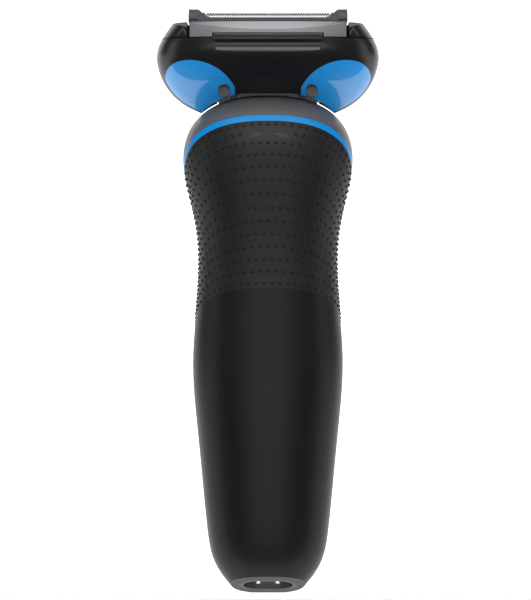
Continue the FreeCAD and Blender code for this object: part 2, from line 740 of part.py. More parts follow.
def slanted(low, high, tilt):
    """All space between two planes that rise towards the back, given by their heights at y = 0."""
    angle = math.radians(float(tilt))
    thickness = (float(high) - float(low)) * math.cos(angle)
    wide = 4 * REACH
    slab = Part.makeBox(2 * wide, 2 * wide, thickness, Vector(-wide, -wide, 0))
    slab.rotate(Vector(0, 0, 0), X_AXIS, float(tilt))
    slab.translate(Vector(0, 0, float(low)))
    return slab


def span(x, y, z):
    """A plain box between two numbers or sizes along each axis."""
    low = Vector(float(x[0]), float(y[0]), float(z[0]))
    high = Vector(float(x[1]), float(y[1]), float(z[1]))
    edge = high - low
    return Part.makeBox(edge.x, edge.y, edge.z, low)


def level(low, high):
    """All space between two heights."""
    return span((-REACH, REACH), (-REACH, REACH), (low, high))


def upright_slot(half_width, half_depth, y, low, high):
    """A prism along Z whose section is a slot with round ends."""
    radius = float(half_depth)
    side = float(half_width) - radius
    tall = float(high) - float(low)
    shape = span((-side, side), (float(y) - radius, float(y) + radius), (low, high))
    for x in (-side, side):
        end = Part.makeCylinder(radius, tall, Vector(x, float(y), float(low)), Z_AXIS)
        shape = shape.fuse(end)
    return shape.removeSplitter()


def one_solid(shape):
    """The shape's only solid."""
    solids = shape.Solids
    if len(solids) != 1:
        raise ValueError(f"expected one solid, found {len(solids)}")
    return solids[0]


handle_outer = handle_form(0)
handle_under_skin = handle_form(size.skin)
handle_inside = handle_form(size.shell_wall)
head_outer = head_form(0)
head_inside = head_form(size.head_wall)
above_foot = slanted(size.foot_edge * math.tan(math.radians(float(size.foot_tilt))),
                     REACH * 2, size.foot_tilt)
below_ring = slanted(-2 * REACH, ring_bottom, size.ring_tilt)
grip_zone = slanted(size.waist_height - size.grip_drop, REACH * 2, size.grip_tilt)


# ----------------------------------------------------------------------------------------
# Handle: shells, skins, ring and end pieces.
# ----------------------------------------------------------------------------------------

def panel_prism(grow):
    """What the front panel covers: a tall slot seen from the front, reaching back to y = 0."""
    radius = float(size.panel_half_width) + grow
    low = float(size.panel_low)
    shape = span((-radius, radius), (-REACH, 0), (low, REACH * 2))
    end = Part.makeCylinder(radius, REACH, Vector(0, 0, low), -Y_AXIS)
    return shape.fuse(end)


def front_bore(radius, height):
    """A bore from the front at a height."""
    return Part.makeCylinder(float(radius), REACH, Vector(0, 0, float(height)), -Y_AXIS)


def lens_heights():
    """Heights of the charge indicator's windows."""
    return [size.lens_low + size.lens_pitch * index for index in range(int(size.lens_count.number))]


def inlet_column(grow, low, high):
    """An upright prism round the electric inlet."""
    half_width = size.inlet_half_width + size.inlet_wall + grow
    half_depth = size.inlet_half_depth + size.inlet_wall + grow
    return upright_slot(half_width, half_depth, size.inlet_back, low, high)


def shell_blank():
    """Both handle shells in one: walls, end wall, recesses for the skins, bores."""
    blank = handle_outer.common(above_foot).common(below_ring)
    skin_layer = handle_outer.cut(handle_under_skin)
    blank = blank.cut(skin_layer.common(grip_zone)).cut(skin_layer.common(panel_prism(0)))
    foot_inside = above_foot.translated(Vector(0, 0, float(size.foot_wall)))
    blank = blank.cut(handle_inside.common(foot_inside))
    blank = blank.cut(inlet_column(size.seat_gap, -REACH, size.inlet_block_top))
    blank = blank.cut(front_bore(size.button_radius + size.part_gap + size.bezel_wall, button_height))
    for height in lens_heights():
        blank = blank.cut(front_bore(size.lens_radius + size.seat_gap, height))
    return blank


def make_shells():
    """Rear and front shell, parted by an upright plane."""
    blank = shell_blank()
    split = -size.shell_split
    everywhere = (-REACH, REACH * 2)
    rear = blank.common(span((-REACH, REACH), (split, REACH), everywhere))
    front = blank.common(span((-REACH, REACH), (-REACH, split), everywhere))
    node("rear_shell", shaped(one_solid(rear)))
    node("front_shell", shaped(one_solid(front)))


def make_skins():
    """Soft grip round the upper handle, and the glossy panel on its front."""
    layer = handle_outer.cut(handle_under_skin).common(below_ring)
    grip = layer.common(grip_zone).cut(panel_prism(float(size.seat_gap)))
    node("grip_sleeve", shaped(one_solid(grip)))
    panel = layer.common(panel_prism(0))
    bore = front_bore(size.button_radius + size.part_gap + size.bezel_wall, button_height)
    panel = panel.cut(bore)
    for height in lens_heights():
        panel = panel.cut(front_bore(size.lens_radius + size.seat_gap, height))
    node("front_panel", shaped(one_solid(panel)))


def make_ring():
    """Accent ring, a slanted band between the grip and the head unit."""
    band = handle_outer.cut(handle_inside).common(slanted(ring_bottom, ring_top, size.ring_tilt))
    node("accent_ring", shaped(one_solid(band)))


def catch_slots(grow):
    """Upright prisms of the two catches, or of the slots they pass through."""
    shapes = []
    for side in (-1, 1):
        x = side * float(size.catch_side)
        reach = float(size.catch_half_width) + grow
        depth = float(size.catch_half_depth) + grow
        shapes.append(span((x - reach, x + reach), (-depth, depth), (0, REACH * 2)))
    return shapes


def make_top_plate():
    """Bulkhead inside the ring, with a bore for the diaphragm and slots for the catches."""
    low = ring_bottom - size.plate_depth
    plate = handle_inside.common(slanted(low, ring_top - size.plate_sink, size.ring_tilt))
    tall = REACH * 2
    bore = Part.makeCylinder(float(size.diaphragm_radius), tall)
    plate = plate.cut(bore)
    for slot in catch_slots(float(size.catch_gap)):
        plate = plate.cut(slot)
    node("top_plate", shaped(one_solid(plate)))
    rubber = Part.makeCylinder(float(size.diaphragm_radius), tall)
    rubber = rubber.common(slanted(low, low + size.diaphragm_thickness, size.ring_tilt))
    room = size.pin_radius + size.part_gap
    rubber = rubber.cut(upright_slot(room + size.stroke, room, 0, 0, tall))
    node("drive_diaphragm", shaped(one_solid(rubber)))


def make_inlet():
    """Inlet block with its recess, two pins and the seal round it."""
    block_shape = inlet_column(0, -1, size.inlet_block_top).common(above_foot).common(handle_outer)
    recess = upright_slot(size.inlet_half_width, size.inlet_half_depth, size.inlet_back,
                          -1, size.inlet_recess_top)
    block_shape = block_shape.cut(recess)
    for side in (-1, 1):
        place = Vector(side * float(size.inlet_pin_spacing) / 2, float(size.inlet_back), 0)
        bore = Part.makeCylinder(float(size.inlet_shank_radius), REACH, place, Z_AXIS)
        block_shape = block_shape.cut(bore)
    node("inlet_block", shaped(one_solid(block_shape)))
    contact = size.inlet_recess_top - size.inlet_pin_low
    pins = []
    for side in (-1, 1):
        start = (size.inlet_pin_spacing * side / 2, size.inlet_back, size.inlet_pin_low)
        tip_start = (start[0], start[1], size.inlet_pin_low - size.inlet_pin_radius * 0.4)
        shank_start = (start[0], start[1], size.inlet_recess_top)
        shank = rod("z", shank_start, size.inlet_shank_radius,
                    size.inlet_pin_top - size.inlet_recess_top)
        tip = doc.addObject("Part::Cone", "tip")
        bind(tip, Radius1=size.inlet_pin_radius * 0.55, Radius2=size.inlet_pin_radius,
             Height=size.inlet_pin_radius * 0.4)
        bind_place(tip, tip_start)
        pins.append(fuse(rod("z", start, size.inlet_pin_radius, contact), shank, tip))
    node("inlet_pins", group(*pins))
    top = size.inlet_seal_low + size.inlet_seal_thickness
    seal = inlet_column(size.inlet_seal_width, size.inlet_seal_low, top)
    seal = seal.cut(inlet_column(size.seat_gap, 0, REACH))
    node("inlet_seal", shaped(one_solid(seal)))


def make_indicator():
    """Three windows flush with the front panel, and a diode behind each."""
    windows = []
    diodes = []
    inner = size.board_front + size.led_thickness + size.part_gap
    for height in lens_heights():
        bar = Part.makeCylinder(float(size.lens_radius), REACH,
                                Vector(0, -float(inner), float(height)), -Y_AXIS)
        windows.append(bar.common(handle_outer))
        half = size.led_half_width
        diodes.append(block((-half, half), (-size.board_front - size.led_thickness, -size.board_front),
                            (height - half, height + half)))
    node("indicator_lenses", shaped(Part.Compound(windows)))
    node("indicator_leds", group(*diodes))


# ----------------------------------------------------------------------------------------
# Inside the handle.
# ----------------------------------------------------------------------------------------

def screw_places():
    """Where the four board screws stand: x and height."""
    heights = (size.screw_low, size.waist_height - size.screw_drop)
    return [(size.screw_side * side, height) for height in heights for side in (-1, 1)]


def make_chassis():
    """Moulded chassis: a back plate with cheeks beside the cell and a shelf for the motor."""
    low = size.chassis_low
    shelf_low = shelf_top - size.shelf_thickness
    back = size.chassis_thickness - size.chassis_front
    plate = span((-size.chassis_half_width, size.chassis_half_width),
                 (-size.chassis_front, back), (low, shelf_low))
    shape = plate.fuse(handle_inside.common(level(shelf_low, shelf_top)))
    inner = size.battery_radius + size.part_gap
    outer = inner + size.cheek_thickness
    for side in (-1, 1):
        x = sorted((side * float(inner), side * float(outer)))
        shape = shape.fuse(span(x, (back, size.cheek_back), (low, shelf_low)))
    edge = size.board_half_width + size.part_gap
    board_room = span((-edge, edge), (-size.board_front - size.seat_gap,
                                      size.board_thickness - size.board_front + size.seat_gap),
                      (low, shelf_top + 1))
    shape = shape.cut(board_room)
    for x, height in screw_places():
        place = Vector(float(x), -float(size.chassis_front), float(height))
        length = size.board_front - size.board_thickness - size.chassis_front
        boss = Part.makeCylinder(float(size.screw_head_radius), float(length), place, -Y_AXIS)
        shape = shape.fuse(boss)
    for x, height in screw_places():
        place = Vector(float(x), float(back), float(height))
        shape = shape.cut(Part.makeCylinder(float(size.screw_radius), REACH, place, -Y_AXIS))
    node("chassis", shaped(one_solid(shape)))


def make_board():
    """Circuit board, its screws and the tactile switch."""
    body = new_body("circuit_board")
    outlines = [rectangle(-size.board_half_width, size.board_half_width,
                          size.board_low, size.waist_height + size.board_rise)]
    for x, height in screw_places():
        outlines.append(("circle", x, height, size.screw_radius + size.seat_gap))
    back = size.board_thickness - size.board_front
    pad(body, "XZ_Plane", -size.board_front, back, *outlines)
    node("circuit_board", body)
    screws = []
    head_front = -size.board_front - size.screw_head_height
    shank = size.screw_head_height + size.board_front + size.chassis_thickness - size.chassis_front
    for x, height in screw_places():
        head = rod("y", (x, head_front, height), size.screw_head_radius, size.screw_head_height)
        screws.append(fuse(head, rod("y", (x, head_front, height), size.screw_radius, shank)))
    node("board_screws", group(*screws))
    body = new_body("tactile_switch")
    half = size.switch_half_width
    front = -size.board_front - size.switch_thickness
    pad(body, "XZ_Plane", front, -size.board_front,
        rectangle(-half, half, button_height - half, button_height + half))
    pad(body, "XZ_Plane", front - size.plunger_height, front,
        ("circle", 0, button_height, size.plunger_radius))
    node("tactile_switch", body)


def make_battery():
    """Rechargeable cell with a nickel tab at each end."""
    top = shelf_top - size.shelf_thickness - size.battery_drop
    low = top - size.battery_length
    body = new_body("battery_cell")
    cap = size.battery_radius * 0.4
    step = size.tab_thickness * 3
    points = [(0, low), (size.battery_radius, low), (size.battery_radius, top - step),
              (cap, top - step), (cap, top), (0, top)]
    sketch = sketch_on(body, "XZ_Plane", -size.battery_back)
    draw_polygon(sketch, points)
    turned = body.newObject("PartDesign::Revolution", "can")
    turned.Profile = sketch
    turned.ReferenceAxis = (sketch, ["V_Axis"])
    turned.Angle = 360
    node("battery_cell", body)
    half = size.tab_half_width
    depth = (size.battery_back - size.tab_half_length, size.battery_back + size.tab_half_length)
    node("battery_tabs", group(
        block((-half, half), depth, (low - size.tab_thickness, low)),
        block((-half, half), depth, (top, top + size.tab_thickness))))


# Linear motor: heights above the shelf.
motor_floor = shelf_top + size.motor_plate
core_top = motor_floor + size.core_height
armature_low = core_top + size.air_gap
armature_top = armature_low + size.armature_height
mass_low = armature_top + size.mass_gap
rod_depths = (-size.motor_front + size.rod_inset, size.motor_back - size.rod_inset)
armature_rods = armature_low + size.armature_height * 0.62
mass_rods = mass_low + size.mass_height / 2


def make_motor_frame():
    """Steel bracket of the motor and the rods that guide the moving masses."""
    wide = size.motor_half_width
    thin = size.motor_plate
    body = new_body("motor_frame")
    high = shelf_top + size.motor_height
    outline = [(-wide, shelf_top), (wide, shelf_top), (wide, high), (wide - thin, high),
               (wide - thin, motor_floor), (thin - wide, motor_floor), (thin - wide, high),
               (-wide, high)]
    pad(body, "XZ_Plane", -size.motor_front, size.motor_back, ("polygon", outline))
    bores = [("circle", depth, height, size.rod_radius)
             for height in (armature_rods, mass_rods) for depth in rod_depths]
    pocket(body, "YZ_Plane", -wide, wide, *bores)
    node("motor_frame", body)
    rods = [rod("x", (-wide, depth, height), size.rod_radius, wide * 2)
            for height in (armature_rods, mass_rods) for depth in rod_depths]
    node("guide_rods", group(*rods))


def make_stator():
    """Laminated core with three legs, and the winding on the middle one."""
    wide = size.core_half_width
    leg = size.core_leg
    middle = size.core_middle_leg
    base = motor_floor + size.core_base
    body = new_body("motor_core")
    outline = [(-wide, motor_floor), (wide, motor_floor), (wide, core_top), (wide - leg, core_top),
               (wide - leg, base), (middle, base), (middle, core_top), (-middle, core_top),
               (-middle, base), (leg - wide, base), (leg - wide, core_top), (-wide, core_top)]
    front = size.core_inset - size.motor_front
    back = size.motor_back - size.core_inset
    pad(body, "XZ_Plane", front, back, ("polygon", outline))
    node("motor_core", body)
    body = new_body("motor_coil")
    coil = size.coil_half_width
    gap = size.seat_gap
    grow = coil - middle
    pad(body, "XY_Plane", base + gap, base + gap + size.coil_height,
        rectangle(-coil, coil, front - grow * 0.6, back + grow * 0.6),
        rectangle(-middle - gap, middle + gap, front - gap, back + gap))
    node("motor_coil", body)


def make_armature():
    """Magnet carrier on two guide rods, with the drive pin standing up from it."""
    wide = size.armature_half_width
    front = size.armature_inset - size.motor_front
    back = size.motor_back - size.armature_inset
    body = new_body("armature")
    pad(body, "XY_Plane", armature_low, armature_top, rectangle(-wide, wide, front, back))
    bores = [("circle", depth, armature_rods, size.rod_radius + size.run_gap)
             for depth in rod_depths]
    pocket(body, "YZ_Plane", -wide, wide, *bores)
    pad(body, "XY_Plane", armature_top, ring_middle + size.pin_rise,
        ("circle", 0, 0, size.pin_radius))
    node("armature", body)


def make_counter_mass():
    """Balance weight that swings against the armature, with a slot for the drive pin."""
    wide = size.armature_half_width
    front = size.armature_inset - size.motor_front
    back = size.motor_back - size.armature_inset
    body = new_body("counter_mass")
    room = size.pin_radius + size.part_gap
    slot = ("slot", 0, 0, room + size.stroke * 2, room)
    pad(body, "XY_Plane", mass_low, mass_low + size.mass_height,
        rectangle(-wide, wide, front, back), slot)
    bores = [("circle", depth, mass_rods, size.rod_radius + size.run_gap) for depth in rod_depths]
    pocket(body, "YZ_Plane", -wide, wide, *bores)
    node("counter_mass", body)


def make_button():
    """Power button with its stem, the metal ring round it and the seal behind it."""
    body = new_body("power_button")
    front = -size.button_front
    back = front + size.button_thickness
    switch_face = -size.board_front - size.switch_thickness - size.plunger_height
    stem_end = switch_face - size.stem_gap - size.button_travel
    crown = size.button_crown
    outline = [(front, 0), (front, size.button_radius - crown),
               (front + crown * 0.3, size.button_radius - crown * 0.3),
               (front + crown, size.button_radius), (back, size.button_radius),
               (back, size.stem_radius), (stem_end, size.stem_radius), (stem_end, 0)]
    revolve(body, "YZ_Plane", (0, button_height), "H_Axis", outline)
    node("power_button", body)
    body = new_body("button_bezel")
    inner = size.button_radius + size.part_gap
    outer = inner + size.bezel_wall - size.seat_gap
    face = -size.bezel_front
    deep = face + size.bezel_depth
    bevel = size.bezel_wall * 0.35
    outline = [(face, inner + bevel), (face, outer - bevel), (face + bevel, outer), (deep, outer),
               (deep, inner), (face + bevel, inner)]
    revolve(body, "YZ_Plane", (0, button_height), "H_Axis", outline)
    node("button_bezel", body)
    body = new_body("button_membrane")
    pad(body, "XZ_Plane", deep, deep + size.membrane_thickness,
        ("circle", 0, button_height, outer),
        ("circle", 0, button_height, size.stem_radius + size.part_gap))
    node("button_membrane", body)


# ----------------------------------------------------------------------------------------
# Neck: shroud, base with catches, yoke and drive link.
# ----------------------------------------------------------------------------------------

def make_neck():
    """Domed shroud, the base inside it with its two catches, and the yoke of the tilt joint."""
    above_seat = slanted(neck_bottom, REACH * 4, size.ring_tilt)
    side = size.neck_ridge_half_width
    depth = size.neck_ridge_half_depth
    ridge = handle_form(-size.neck_ridge).common(span((-side, side), (-depth, depth), (shoulder, axis)))
    shroud = handle_outer.fuse(ridge).cut(handle_form(size.neck_wall)).common(above_seat)
    room = size.link_stem_radius + size.part_gap
    shroud = shroud.cut(upright_slot(room + size.stroke, room, 0, shoulder, axis))
    arm_depth = size.arm_radius + size.seat_gap
    for side in (-1, 1):
        x = sorted((side * float(size.arm_inner - size.seat_gap),
                    side * float(size.arm_inner + size.arm_thickness + size.seat_gap)))
        shroud = shroud.cut(span(x, (-arm_depth, arm_depth), (shoulder, axis)))
    node("neck_shroud", shaped(one_solid(shroud.removeSplitter())))
    inside = handle_form(size.neck_wall + size.seat_gap)
    base = inside.common(slanted(neck_bottom, neck_plate_top, size.ring_tilt))
    catch_floor = slanted(neck_bottom - size.catch_reach, neck_plate_top, size.ring_tilt)
    for prism in catch_slots(0):
        base = base.fuse(prism.common(catch_floor))
    room = size.link_radius + size.part_gap
    base = base.cut(upright_slot(room + size.stroke, room, 0, 0, REACH * 2))
    node("neck_base", shaped(one_solid(base.removeSplitter())))


def make_yoke():
    """Two arms on a bridge that stands on the neck base; a tilt pin passes through each."""
    radius = size.arm_radius
    outer = size.arm_inner + size.arm_thickness
    bridge_low = ring_middle + size.yoke_bridge_rise
    bridge_top = bridge_low + size.yoke_bridge_height
    arms = [block((-outer, outer), (-radius, radius), (bridge_low, bridge_top))]
    for side in (-1, 1):
        inner_x = size.arm_inner * side
        outer_x = outer * side
        x = (inner_x, outer_x) if side > 0 else (outer_x, inner_x)
        arms.append(block(x, (-radius, radius), (ring_top, axis)))
        arms.append(rod("x", (x[0], 0, axis), radius, size.arm_thickness))
    stem_room = size.link_stem_radius + size.part_gap
    slot = block((-stem_room - size.stroke, stem_room + size.stroke), (-stem_room, stem_room),
                 (bridge_low - 1, bridge_top + 1))
    bore = rod("x", (-outer - 1, 0, axis), size.tilt_pin_radius + size.run_gap, outer * 2 + 2)
    yoke = cut(fuse(*arms), slot, bore)
    doc.recompute()
    trimmed = yoke.Shape.common(slanted(neck_plate_top, REACH * 4, size.ring_tilt))
    node("swivel_yoke", shaped(one_solid(trimmed)))


def make_link():
    """Link that takes the drive pin's stroke up to a ball on the tilt axis."""
    low = neck_bottom + size.link_lift
    pin_top = ring_middle + size.pin_rise
    shoulder_height = pin_top + size.part_gap + size.link_stem_radius
    foot = rod("z", (0, 0, low), size.link_radius, shoulder_height - low)
    stem = rod("z", (0, 0, shoulder_height - 1), size.link_stem_radius, axis - shoulder_height + 1)
    ball = doc.addObject("Part::Sphere", "ball")
    bind(ball, Radius=size.ball_radius)
    bind_place(ball, (0, 0, axis))
    socket = rod("z", (0, 0, low - 1), size.pin_radius + size.run_gap,
                 pin_top + size.part_gap - low + 1)
    node("neck_link", cut(fuse(foot, stem, ball), socket))


# ----------------------------------------------------------------------------------------
# Head: housing, base, fenders and drive bridge.
# ----------------------------------------------------------------------------------------

def swept_dome():
    """Room for the shroud's dome, at rest and at both ends of the tilt."""
    room = handle_form(-size.dome_gap)
    centre = Vector(0, 0, float(axis))
    shapes = []
    for turn in (0, float(size.tilt_limit), -float(size.tilt_limit)):
        turned = room.copy()
        turned.rotate(centre, X_AXIS, turn)
        shapes.append(turned)
    return shapes


def fender_prism(side, back):
    """What one fender covers: its outline seen from behind, on one side and one face."""
    middle = float(axis)
    inner = (float(size.fender_inner), middle - float(size.fender_inner_drop))
    curve_places = (
        inner,
        (float(size.fender_bend), middle - float(size.fender_bend_drop)),
        (float(size.fender_shoulder), middle + float(size.fender_shoulder_rise)),
        (float(size.fender_top), middle + float(size.fender_top_rise)),
        (float(size.fender_corner), middle + float(size.fender_corner_rise)),
        (float(size.fender_side), middle + float(size.fender_side_rise)),
        (float(size.fender_flank), middle - float(size.fender_flank_drop)),
        (float(size.fender_bilge), middle - float(size.fender_bilge_drop)),
        (float(size.fender_keel), middle - float(size.fender_keel_drop)),
        (float(size.fender_tip), middle - float(size.fender_tip_drop)),
    )
    curve = Part.BSplineCurve()
    curve.interpolate(Points=[Vector(side * x, 0, z) for x, z in curve_places])
    start = Vector(side * curve_places[0][0], 0, curve_places[0][1])
    tip = Vector(side * curve_places[-1][0], 0, curve_places[-1][1])
    under = Vector(tip.x, 0, middle - 2 * float(size.fender_tip_drop))
    corner = Vector(start.x, 0, under.z)
    edges = [curve.toShape()]
    for first, second in ((tip, under), (under, corner), (corner, start)):
        edges.append(Part.makeLine(first, second))
    face = Part.Face(Part.Wire(edges))
    reach = REACH if back else -REACH
    return face.extrude(Vector(0, reach, 0))


def stud_rod(side, back, grow):
    """One stud, or with growth its bore, along Y."""
    facing = 1 if back else -1
    place = Vector(side * float(size.stud_side), facing * float(size.stud_inner),
                   float(axis - size.stud_drop))
    length = float(size.stud_length) + (REACH if grow else 0)
    return Part.makeCylinder(float(size.stud_radius) + grow, length, place, Y_AXIS * facing)


CORNERS = ((-1, True, "rear_right"), (1, True, "rear_left"), (-1, False, "front_left"),
           (1, False, "front_right"))


def make_head_housing():
    """Housing under the cassette, hollowed over the dome, with its four fenders and studs."""
    blank = head_outer.common(level(axis - size.keel_drop, seam))
    for dome in swept_dome():
        blank = blank.cut(dome)
    layer = blank.cut(head_form(size.fender_skin))
    housing = blank.cut(head_inside.common(level(axis - size.head_floor_drop, seam + 1)))
    mouth = span((-size.head_mouth_half_width, size.head_mouth_half_width),
                 (-size.head_mouth_half_depth, size.head_mouth_half_depth),
                 (axis - size.keel_drop, axis))
    housing = housing.cut(mouth)
    for facing in (-1, 1):
        depth = float(size.seam_half_depth) + float(size.scoop_radius) - float(size.scoop_depth)
        place = Vector(-float(size.scoop_side), facing * depth, float(seam - size.scoop_drop))
        scoop = Part.makeCylinder(float(size.scoop_radius), 2 * float(size.scoop_side), place, X_AXIS)
        housing = housing.cut(scoop)
    studs = []
    for side, back, name in CORNERS:
        prism = fender_prism(side, back)
        stud = stud_rod(side, back, 0)
        fender = layer.common(prism).cut(mouth).cut(stud_rod(side, back, float(size.seat_gap)))
        housing = housing.cut(layer.common(prism)).cut(stud_rod(side, back, float(size.seat_gap)))
        largest = max(fender.Solids, key=lambda solid: solid.Volume)
        node("fender_" + name, shaped(largest))
        studs.append(stud)
    node("fender_studs", shaped(Part.Compound(studs)))
    largest = max(housing.Solids, key=lambda solid: solid.Volume)
    node("head_housing", shaped(largest))


def make_head_base():
    """Floor of the head with the two lugs that hold the tilt pins."""
    low = axis + size.base_rise
    top = low + size.base_thickness
    floor = head_form(size.head_wall + size.seat_gap).common(level(low, top))
    inner = size.arm_inner + size.arm_thickness + size.part_gap
    for side in (-1, 1):
        x = sorted((side * float(inner), side * float(inner + size.lug_thickness)))
        lug = span(x, (-size.lug_radius, size.lug_radius), (axis, low))
        end = Part.makeCylinder(float(size.lug_radius), x[1] - x[0], Vector(x[0], 0, float(axis)), X_AXIS)
        floor = floor.fuse(lug).fuse(end)
    bore = Part.makeCylinder(float(size.tilt_pin_radius), 2 * REACH, Vector(-REACH, 0, float(axis)), X_AXIS)
    floor = floor.cut(bore)
    room = size.ball_radius + size.cheek_wall + size.stroke + size.part_gap
    depth = size.cheek_half_depth + size.part_gap
    floor = floor.cut(span((-room, room), (-depth, depth), (low - 1, top + 1)))
    node("head_base", shaped(one_solid(floor.removeSplitter())))
    length = size.arm_thickness + size.part_gap + size.lug_thickness
    node("tilt_pins", group(
        rod("x", (size.arm_inner, 0, axis), size.tilt_pin_radius, length),
        rod("x", (-size.arm_inner - length, 0, axis), size.tilt_pin_radius, length)))


def make_drive_bridge():
    """Bridge that the ball rocks from side to side, with a peg for each cutter."""
    gap = size.run_gap
    inner = size.ball_radius + gap
    outer = inner + size.cheek_wall
    depth = size.cheek_half_depth
    low = axis - size.cheek_drop
    roof = axis + size.cheek_bridge
    bar_low = axis + size.bar_rise
    bar_top = bar_low + size.bar_height
    body = new_body("drive_bridge")
    outline = [(-outer, low), (-inner, low), (-inner, roof), (inner, roof), (inner, low),
               (outer, low), (outer, bar_top), (-outer, bar_top)]
    pad(body, "XZ_Plane", -depth, depth, ("polygon", outline))
    reach = size.foil_side + size.bar_half_width
    pad(body, "XY_Plane", bar_low, bar_top,
        rectangle(-size.bar_half_width, size.bar_half_width, -reach, reach))
    cutter_low = foil_centre - size.cutter_leg
    peg_top = cutter_low + size.peg_radius
    for side in (-1, 1):
        pad(body, "XY_Plane", bar_top, peg_top, ("circle", 0, size.foil_side * side, size.peg_radius))
    pad(body, "XY_Plane", bar_top, peg_top, ("circle", 0, 0, size.trimmer_peg_radius))
    node("drive_bridge", body)


# ----------------------------------------------------------------------------------------
# Cassette.
# ----------------------------------------------------------------------------------------

def make_cassette_frame():
    """Frame above the seam with its skirt, bright trims, thumb bars and tray."""
    low = seam + size.cassette_gap
    wide = size.frame_half_width
    frame = head_outer.common(span((-wide, wide), (-REACH, REACH), (low, crest)))
    skirt_x = size.mouth_half_width + size.skirt_wall
    skirt_y = size.mouth_half_depth + size.skirt_wall
    frame = frame.fuse(span((-skirt_x, skirt_x), (-skirt_y, skirt_y),
                            (axis + size.tray_rise, crest)))
    opening = span((-size.mouth_half_width, size.mouth_half_width),
                   (-size.mouth_half_depth, size.mouth_half_depth),
                   (axis, crest + 1))
    frame = frame.cut(opening)
    depth = size.tongue_half_depth + size.part_gap
    for side in (-1, 1):
        notch_x = sorted((side * float(size.frame_half_width - size.tongue_notch), side * REACH))
        frame = frame.cut(span(notch_x, (-depth, depth), (low - 1, crest + 1)))
    layer = head_outer.cut(head_form(size.trim_skin)).common(level(crest - size.trim_drop, crest))
    arch_centre = Vector(0, -REACH, float(crest - size.trim_drop + size.trim_arch))
    arch = Part.makeCylinder(float(size.trim_arch), 2 * REACH, arch_centre, Y_AXIS)
    side = size.frame_half_width
    trims = layer.common(span((-side, side), (-REACH, REACH), (low, crest))).common(arch)
    frame = frame.cut(trims)
    bars = []
    for facing in (-1, 1):
        outer = facing * float(size.seam_half_depth + size.bar_proud)
        inner = outer - facing * float(size.bar_depth)
        y = sorted((inner, outer))
        bar = span((-size.bar_side, size.bar_side), y, (low, seam + size.bar_top))
        y = sorted((outer - facing * float(size.bar_lip), outer))
        lip = span((-size.bar_side, size.bar_side), y, (seam - size.bar_lip_drop, low + 1))
        bars.append(bar.fuse(lip).removeSplitter())
        frame = frame.cut(bar)
    largest = max(frame.removeSplitter().Solids, key=lambda solid: solid.Volume)
    node("cassette_frame", shaped(largest))
    node("frame_trims", shaped(Part.Compound(trims.Solids)))
    node("thumb_bars", shaped(Part.Compound(bars)))


def make_tray():
    """Tray across the bottom of the skirt, with slots for the pegs."""
    room = size.stroke + size.part_gap
    peg = size.peg_radius + room
    thin = size.trimmer_peg_radius + size.part_gap
    body = new_body("cassette_tray")
    outlines = [rectangle(-size.mouth_half_width, size.mouth_half_width,
                          -size.mouth_half_depth, size.mouth_half_depth)]
    for side in (-1, 1):
        outlines.append(("slot", 0, size.foil_side * side, peg, size.peg_radius + size.part_gap))
    outlines.append(("slot", 0, 0, size.trimmer_peg_radius + room, thin))
    pad(body, "XY_Plane", axis + size.tray_rise, tray_top, *outlines)
    node("cassette_tray", body)


def make_end_cheeks():
    """Cheeks that guard the ends of the foils, each with an arch over every foil."""
    inner = size.mouth_half_width
    outer = inner + size.horn_thickness
    flange_top = crest + size.part_gap + size.flange_thickness
    for side, name in ((-1, "right"), (1, "left")):
        x = (inner, outer) if side > 0 else (-outer, -inner)
        reach = size.mouth_half_width + size.flange_reach
        flange_x = (inner, reach) if side > 0 else (-reach, -inner)
        foot_x = (inner, size.frame_half_width) if side > 0 else (-size.frame_half_width, -inner)
        depth = size.foil_side + size.horn_radius
        centre = horn_top - size.horn_radius
        horns = [rod("x", (x[0], size.foil_side * facing, centre), size.horn_radius,
                     size.horn_thickness) for facing in (-1, 1)]
        above = block((x[0] - 1, x[1] + 1), (-depth, depth), (flange_top, horn_top + 1))
        node("end_cheek_" + name, fuse(
            block(foot_x, (-depth, depth), (crest, crest + size.part_gap)),
            block(flange_x, (-depth, depth), (crest + size.part_gap, flange_top)),
            block(x, (-depth, depth), (flange_top, rail_top)),
            common(fuse(*horns), above)))


def make_release_buttons():
    """Caps at the ends of the head, pressed inwards to free the cassette."""
    low = seam + size.cassette_gap
    start = size.frame_half_width + size.release_gap
    inside = head_form(size.release_wall)
    for side, name in ((-1, "right"), (1, "left")):
        x = (start, REACH) if side > 0 else (-REACH, -start)
        cap = head_outer.common(span(x, (-REACH, REACH), (low, crest)))
        cap = cap.cut(inside.common(level(low - 1, crest - size.release_wall)))
        stem_x = sorted((side * float(start), side * float(start + size.release_wall)))
        depth = size.release_stem_half_depth
        stem = span(stem_x, (-depth, depth), (seam - size.release_stem_low, crest - size.release_wall))
        tongue_x = sorted((side * float(start - size.tongue_reach), side * float(start + size.release_wall)))
        depth = size.tongue_half_depth
        tongue = span(tongue_x, (-depth, depth), (low, crest - size.tongue_drop))
        cap = cap.fuse(stem).fuse(tongue).removeSplitter()
        node("release_button_" + name, shaped(one_solid(cap)))


def make_foils():
    """For each row: the foil, the cradle it stands in, the inner cutter and two springs."""
    for facing, name in ((-1, "front"), (1, "rear")):
        y = size.foil_side * facing
        half_length = size.mouth_half_width - size.part_gap
        inner_length = half_length - size.cradle_end_wall
        body = new_body("foil_" + name)
        pad(body, "YZ_Plane", -inner_length, inner_length,
            ("arch", y, foil_centre, size.foil_radius, size.foil_thickness,
             foil_centre - size.foil_leg))
        node("foil_" + name, body)
        inner = size.foil_radius + size.seat_gap
        outer = inner + size.cradle_wall
        body = new_body("foil_cradle_" + name)
        pad(body, "XY_Plane", cradle_low, rail_top,
            rectangle(-half_length, half_length, y - outer, y + outer),
            rectangle(-inner_length, inner_length, y - inner, y + inner))
        node("foil_cradle_" + name, body)
        make_cutter(name, y)
        make_springs(name, y)


